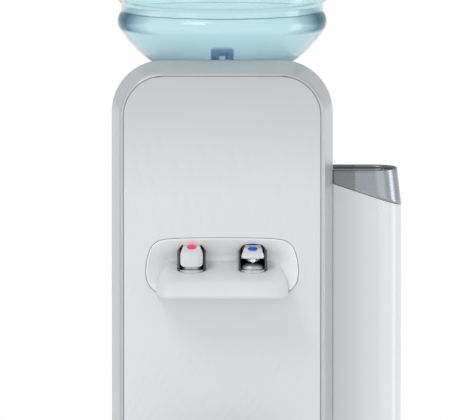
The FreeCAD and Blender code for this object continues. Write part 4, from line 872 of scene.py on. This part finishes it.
def cupLine(low, high, inset=0.0, pull=0.0, arcs=20, sides=26):
    # the plan: sharp corners at the cabinet and wide round ones outside, anticlockwise
    left, right = low[0] + inset, high[0] - inset - pull
    front, back = low[1] + inset, high[1] - inset
    wide, small = cup["corner"] - inset, max(cup["edge"] - inset, 0.0004)

    def arc(x, y, radius, start, count):
        turn = np.linspace(start, start + math.pi / 2, count)
        return np.stack([x + radius * np.cos(turn), y + radius * np.sin(turn)], -1)
    bends = [arc(left + small, front + small, small, math.pi, 6),
             arc(right - wide, front + wide, wide, -math.pi / 2, arcs),
             arc(right - wide, back - wide, wide, 0, arcs),
             arc(left + small, back - small, small, math.pi / 2, 6)]
    line = []
    for index, bend in enumerate(bends):
        following = bends[(index + 1) % 4]
        share = np.linspace(0, 1, sides, endpoint=False)[1:, None]
        line += [bend, bend[-1] * (1 - share) + following[0] * share]
    return np.concatenate(line)


def capPaintWithReflections(name):
    # metallic grey with painted reflections: darker on its level faces and on the part beside the
    # cabinet, for the dark surroundings that the cap reflects there
    board = Board(name)
    across = board.part(board.place(), "x")
    upward = board.part(board.node("ShaderNodeNewGeometry")[1], "z")
    brush = board.noise(1.0, 3.0, board.place((6, 6, 700)))
    side = ((across - cup["shadeAt"]) / cup["shadeSoft"] + 0.5).clamp()
    tone = board.mix(side, cup["dark"], cup["grey"])
    tone = board.mix(((upward - 0.3) * 3).clamp(), tone, cup["top"])
    return board.finish(Base_Color=tone, Metallic=0.7, Roughness=0.27 + (brush - 0.5) * 0.06,
                        Normal=board.bump(board.noise(420.0, 2.0), 0.00003), Coat_Weight=0.25,
                        Coat_Roughness=0.12)


def addCups():
    c = cup
    low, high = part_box("cup_shell")
    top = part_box("cup_cap")[1][2]
    fall = (c["right"] - c["left"]) / (high[0] - low[0])

    def slant(line, lift):
        return (top - c["left"] - (line[:, 0] - low[0]) * fall + lift)[:, None]

    def ring(inset, z=None, lift=0.0, pull=0.0):
        line = cupLine(low, high, inset, pull)
        level = slant(line, lift) if z is None else np.full((len(line), 1), z)
        return np.concatenate([line, level], 1)
    turn = np.linspace(0, math.pi / 2, 5)
    curve = c["round"]
    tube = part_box("cup_tube")
    middle = ((tube[0][0] + tube[1][0]) / 2, (tube[0][1] + tube[1][1]) / 2)
    bore = (tube[1][0] - tube[0][0]) / 2 + c["boreGap"]
    base = ring(c["foot"] * 2, low[2])
    angle = np.arctan2(base[:, 1] - middle[1], base[:, 0] - middle[0])
    hole = np.stack([middle[0] + bore * np.cos(angle), middle[1] + bore * np.sin(angle),
                     np.full(len(base), low[2])], -1)
    sunk = hole + (0, 0, c["wall"])
    floor = ring(c["wall"], low[2] + c["wall"])
    rings = [floor, sunk, hole, base]
    foot, rim = c["foot"], c["rim"]
    rings += [ring(foot * (1 - math.sin(t)), low[2] + foot * (1 - math.cos(t))) for t in turn]
    levels = np.linspace(low[2] + 0.02, top - c["right"] - 0.01, 12)
    rings += [ring(0, level) for level in levels]
    rings += [ring(rim * (1 - math.cos(t)), lift=-rim * (1 - math.sin(t)) - c["gap"])
              for t in turn]
    rings += [ring(c["wall"], lift=-c["gap"]), ring(c["wall"], low[2] + c["wall"])]
    shell = ringShell("cup_body", rings, glossPlastic("cup_body", linear(226, 229, 230), 0.3),
                      "cabinet")
    sealed(shell)
    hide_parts("cup_shell")
    wall = c["wall"]
    first, last = ring(0, lift=c["gap"] + rim), ring(0, top - curve, pull=c["pull"])
    lid = [ring(wall, lift=c["gap"]), ring(rim, lift=c["gap"]), first]
    lid += [first * (1 - share) + last * share for share in np.linspace(0.1, 1, 9)]
    lid += [ring(curve * (1 - math.cos(t)), top - curve * (1 - math.sin(t)), pull=c["pull"])
            for t in turn[1:]]
    lip = c["lip"]
    lid += [ring(lip - curve * (1 - math.sin(t)), top - curve * (1 - math.cos(t)) * 0.7,
                 pull=c["pull"]) for t in turn]
    dish = ring(lip + 0.002, top - c["dish"] - 0.0003, pull=c["pull"])
    lid += [ring(lip + 0.0002, top - c["dish"], pull=c["pull"]), dish]
    centre = dish.mean(0)
    lid += [dish + (centre - dish) * share for share in (0.3, 0.7, 1)]
    under = ring(wall, top - c["dish"] - wall, pull=c["pull"])
    inner = [ring(wall, lift=c["gap"]), under, under + (under.mean(0) - under)]
    cap = ringShell("cup_lid", inner[::-1] + lid,
                    capPaintWithReflections("cup_cap_grey"), "cup_cap")
    sealed(cap)
    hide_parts("cup_cap")


addCups()
print("cup dispenser made")


# taps: dark cheeks that wrap round the lever, and a domed metal bonnet in a ring

tap = {"outer": 0.0186, "inner": 0.0162, "gap": 0.0150, "backFlat": 0.0156, "shoulder": 0.0211,
       "crown": 0.0298, "crownHalf": 0.0125, "bow": 0.0016, "edge": 0.0007, "sunk": 0.008,
       "ease": 0.8, "flatStep": 0.0023, "browGap": 0.0006, "browDeep": 0.002,
       "browOut": 0.0009, "browSink": 0.004,
       "dome": ((0.0184, -0.009), (0.0184, -0.0012), (0.01825, -0.0005), (0.0178, 0.0),
                (0.0172, 0.0003), (0.0161, 0.0005), (0.0160, 0.0012), (0.0157, 0.0025),
                (0.0149, 0.0041), (0.0135, 0.0055), (0.0115, 0.0066), (0.009, 0.0073),
                (0.0065, 0.0076), (0.0031, 0.0076), (0.0031, -0.006), (0.0, -0.006))}


def crownLine(across, low, power):
    # the cheeks' top by distance from the tap's middle: a shoulder, a ramp and a bowed crown
    t = tap
    ramp = np.clip((t["outer"] - across) / (t["outer"] - t["crownHalf"]), 0, 1)
    crown = low + t["shoulder"] + (t["crown"] - t["shoulder"]) * ramp ** power
    return crown + t["bow"] * (1 - np.clip(across / t["crownHalf"], 0, 1) ** 2)


def addBrow(name, middle, material):
    # the cheeks' arched top, which leans forward with the slope above it; the middle of the hot
    # one is sunk behind the slope, where the lever's top meets it
    t, c = tap, console
    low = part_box("tap_housings")[0][2]
    front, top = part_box("front_panel")[0][1], c["seam"][0][1]
    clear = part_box(f"{name}_lever")[1][2] + t["browGap"]
    x = np.linspace(-1, 1, 49)
    x = np.sign(x) * np.abs(x) ** t["ease"] * t["outer"]
    across = np.abs(x)
    upper = crownLine(across, low, 1)
    reach, deep = t["gap"] + t["browGap"], t["browDeep"]
    inner = low + t["shoulder"] + (t["crown"] - t["shoulder"]) * np.clip(
        (reach - across) / (t["outer"] - t["crownHalf"]), 0, 1)
    lower = np.where(across < reach, np.maximum(inner, 0), low + t["shoulder"] - deep)
    lower = np.where(across < t["crownHalf"] - 0.0015, np.maximum(lower, clear), lower)
    lower = np.minimum(lower, upper - 0.0003)
    run = (top - c["floorTop"]) / c["deep"]
    sink = t["browSink"] if name == "hot" else 0
    sink = sink * np.clip((t["crownHalf"] - 0.001 - across) / 0.002, 0, 1)

    def row(level, back):
        slant = front + (top - level) / run
        return np.stack([middle + x, slant - t["browOut"] + back + sink, level], -1)
    rows = [row(lower, 0), row(upper, 0), row(upper, deep), row(lower, deep)]
    piece = closedBand(f"{name}_brow", rows, material, smooth=False)


def addTaps():
    t = tap
    black = glossPlastic("tap_black", linear(17, 17, 19), 0.16)
    # painted reflections: the bonnet steel is near white where it faces forward and near black
    # where it turns to the sides, for what it reflects
    board = Board("tap_bonnet")
    forward = board.part(board.node("ShaderNodeNewGeometry")[1], "y") * -1
    brush = board.noise(1.0, 3.0, board.place((900, 900, 6)))
    tone = board.mix(((forward - 0.25) * 1.5).clamp(), linear(20, 20, 22),
                     linear(206, 206, 208))
    tone = board.mix(brush * 0.3, tone, linear(90, 90, 92))
    steel = board.finish(Base_Color=tone, Metallic=0.55, Roughness=0.34 + brush * 0.12,
                         Normal=board.bump(brush, 0.00002))
    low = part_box("tap_housings")[0]
    sides = math.degrees(math.asin(t["gap"] / t["outer"]))
    turn = np.radians(np.linspace(sides - 90, 270 - sides, 61))
    for (x, y), name in zip(tapSpots(), ("hot", "cold")):
        def wall(radius, flat):
            line = np.stack([radius * np.cos(turn), radius * np.sin(turn)], -1)
            line[:, 1] = np.minimum(line[:, 1], flat)
            front = line[:, 1] < 0
            line[front, 0] = np.sign(line[front, 0]) * np.maximum(np.abs(line[front, 0]),
                                                                  t["gap"])
            return line
        outer = wall(t["outer"], t["backFlat"])
        inner = wall(t["inner"], t["backFlat"] - t["flatStep"])
        crown = crownLine(np.abs(outer[:, 0]), low[2], t["ease"])
        rings = []
        for share, drop in ((0, None), (0, 1), (0.12, 0.3), (0.3, 0), (0.7, 0), (0.88, 0.3),
                            (1, 1), (1, None)):
            plan = outer + (inner - outer) * share
            level = (np.full(len(crown), low[2] - t["sunk"]) if drop is None
                     else crown - t["edge"] * drop)
            rings.append(np.stack([x + plan[:, 0], y + plan[:, 1], level], -1))
        cheeks = closedBand(f"{name}_cheeks", rings, black, smooth=False)
        addBrow(name, x, black)
        if name == "hot":
            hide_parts("tap_housings")
        else:  # the wider dome shows under the short lever; the long one needs its room
            dome = turned("cold_bonnet", [(radius, low[2] + rise) for radius, rise in t["dome"]],
                          steel, "cabinet", (x, y), 72)
    duct = softCopy("tap_bodies", 0.0004, steel)


addTaps()
print("taps made")


# small parts: the solids with their edges rounded

edgeWidths = {
    0.0002: "hot_stem cold_stem",
    0.0003: "hot_marker cold_marker back_panel bulkhead",
    0.0004: "tap_spouts bottle_cap cup_tube cold_tank",
    0.0005: "feed_probe side_panel_left side_panel_right drain_spigot panel_screws",
    0.0006: "drip_grille power_inlet thermostat",
    0.0007: "hot_lever cold_lever drip_tray hot_switch cold_switch cup_retainer",
    0.0008: "bottle_collar top_deck tank_lid",
    0.0009: "switch_plate thermostat_knob",
    0.001: "drain_cap compressor",
    0.0012: "drip_shelf base_tray",
    0.0015: "hot_jacket compressor_grommets",
    0.0016: "rubber_feet",
    0.002: "tank_foam"}
softEdges = {node: width for width, names in edgeWidths.items() for node in names.split()}


def nodeFinishes():
    white = linear(236, 237, 238)
    steel = brushedSteel("plug_steel", linear(176, 176, 178), "x", 0.24)
    lever = glossPlastic("lever_white", linear(214, 215, 218), 0.2)
    silver = satinPaint("cabinet_silver", linear(188, 190, 192))
    zinc = zincSheet("zinc_sheet", linear(190, 193, 196))
    copper = copperTube("copper", linear(205, 138, 108))
    dark = mattePlastic("dark_base", linear(58, 59, 62))
    rubber = softRubber("foot_rubber", linear(38, 38, 38))
    seat = glossPlastic("seat_white", white, 0.3)
    tray = glossPlastic("tray_white", linear(212, 214, 217), 0.28)
    tank = brushedSteel("tank_steel", linear(196, 197, 200), "z", 0.3)
    plate = mattePlastic("plate_black", linear(42, 42, 44))
    chassis = satinPaint("condenser_black", linear(34, 34, 35), 0.1, 0.4)
    baffle = mattePlastic("baffle_white", linear(236, 236, 232), 0.45)
    spring = brushedSteel("spring_steel", linear(190, 190, 194), "x", 0.2)
    grey = mattePlastic("thermostat_grey", linear(108, 109, 112))
    hose = softRubber("hose_clear", linear(222, 221, 214))
    stem = chrome("stem_chrome", linear(222, 222, 226))
    return {
        "hot_lever": lever, "cold_lever": lever,
        "hot_marker": glossPlastic("hot_red", linear(250, 10, 104), 0.16),
        "cold_marker": glossPlastic("cold_blue", linear(46, 100, 220), 0.16),
        "tap_plugs": steel,
        "tap_spouts": glossPlastic("spout_white", white, 0.22),
        "hot_stem": stem, "cold_stem": stem,
        "lever_pins": brushedSteel("steel_pin", linear(190, 190, 192), "x"),
        "hot_spring": spring, "cold_spring": spring,
        "bottle_cap": mattePlastic("cap_blue", linear(92, 148, 196), 0.4),
        "bottle_collar": seat,
        "feed_probe": glossPlastic("probe_blue", linear(58, 132, 176), 0.3),
        "drip_shelf": tray, "drip_tray": tray,
        "drip_grille": mattePlastic("grille_grey", linear(122, 124, 127), 0.42),
        "top_deck": silver, "side_panel_left": silver, "side_panel_right": silver,
        "base_tray": dark, "rubber_feet": rubber, "compressor_grommets": rubber,
        "switch_plate": plate, "power_inlet": plate,
        "hot_switch": glossPlastic("rocker_red", linear(196, 36, 34), 0.24),
        "cold_switch": glossPlastic("rocker_green", linear(40, 148, 78), 0.24),
        "thermostat_knob": grey, "thermostat": grey, "drain_cap": dark,
        "drain_spigot": mattePlastic("drain_white", linear(232, 232, 230), 0.4),
        "panel_screws": brushedSteel("screw_steel", linear(196, 196, 198), "x", 0.25),
        "cup_retainer": dark, "cup_tube": glossPlastic("cup_tube_clear", white, 0.2),
        "back_panel": zinc, "bulkhead": zinc, "tank_shelves": zinc,
        "tank_lid": baffle, "tank_baffle": baffle, "cold_tank": tank, "hot_tank": tank,
        "tank_foam": beadFoam("foam_white", linear(238, 234, 222)),
        "hot_jacket": woolJacket("jacket_wool", linear(226, 214, 168)),
        "band_heater": brushedSteel("heater_band", linear(172, 170, 164), "z", 0.35),
        "evaporator_coil": copper, "suction_line": copper, "liquid_line": copper,
        "cold_hose": hose, "hot_hose": hose,
        "compressor": satinPaint("compressor_black", linear(30, 30, 31), 0.1, 0.3),
        "condenser": chassis, "condenser_wires": chassis}


def shortCoil(tap, material):
    # a copy of the tap's spring with its finish, fixed to the cabinet in place of the CAD spring,
    # which is hidden
    node = tap + "_spring"
    data = nodes[node].data.copy()
    data.materials.clear()
    data.materials.append(material)
    piece = placed(tap + "_coil", data)
    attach(piece, "cabinet")
    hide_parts(node)
    tap + "_stem_slide"
    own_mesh(piece)


def dressNodes():
    shown = {"bottle", "arch_frame", "front_panel", "console", "cup_shell", "cup_cap",
             "tap_housings", "tap_bodies"}
    for node, material in nodeFinishes().items():
        if node.endswith("_spring"):
            shortCoil(node.split("_")[0], material)
        elif node in softEdges:
            piece = softCopy(node, softEdges[node], material)
        else:
            data = nodes[node].data
            data.materials.clear()
            data.materials.append(material)
        shown.add(node)
    print("nodes left bare:", sorted(set(nodes) - shown))


dressNodes()
print("small parts dressed")


def finishScene():
    addCamera()
    world = bpy.data.worlds.new("studio")
    bpy.context.scene.world = world
    board, grey = Board("studio", world), studio["worldGrey"]
    plain = board.node("ShaderNodeBackground", None, {"Color": (grey, grey, grey, 1)})[0]
    white = board.node("ShaderNodeBackground", None, {"Color": (1, 1, 1, 1)})[0]
    seen = board.node("ShaderNodeLightPath")
    mixed = board.node("ShaderNodeMixShader", None,
                       {0: seen[0].math("MAXIMUM", seen[6]), 1: plain, 2: white})[0]
    board.node("ShaderNodeOutputWorld", None, {"Surface": mixed})
    size = studio["floorSize"]
    ground = bpy.data.meshes.new("floor")
    ground.from_pydata([(-size, -size, 0), (size, -size, 0), (size, size, 0), (-size, size, 0)],
                       [], [(0, 1, 2, 3)])
    ground.materials.append(floorPaint("floor"))
    floor = placed("floor", ground)
    for name, (place, energy, wide, high) in studio["lamps"].items():
        addLamp(name, place, studio["aim"], energy, wide, high)


finishScene()
bpy.context.scene.view_settings.view_transform = "Standard"
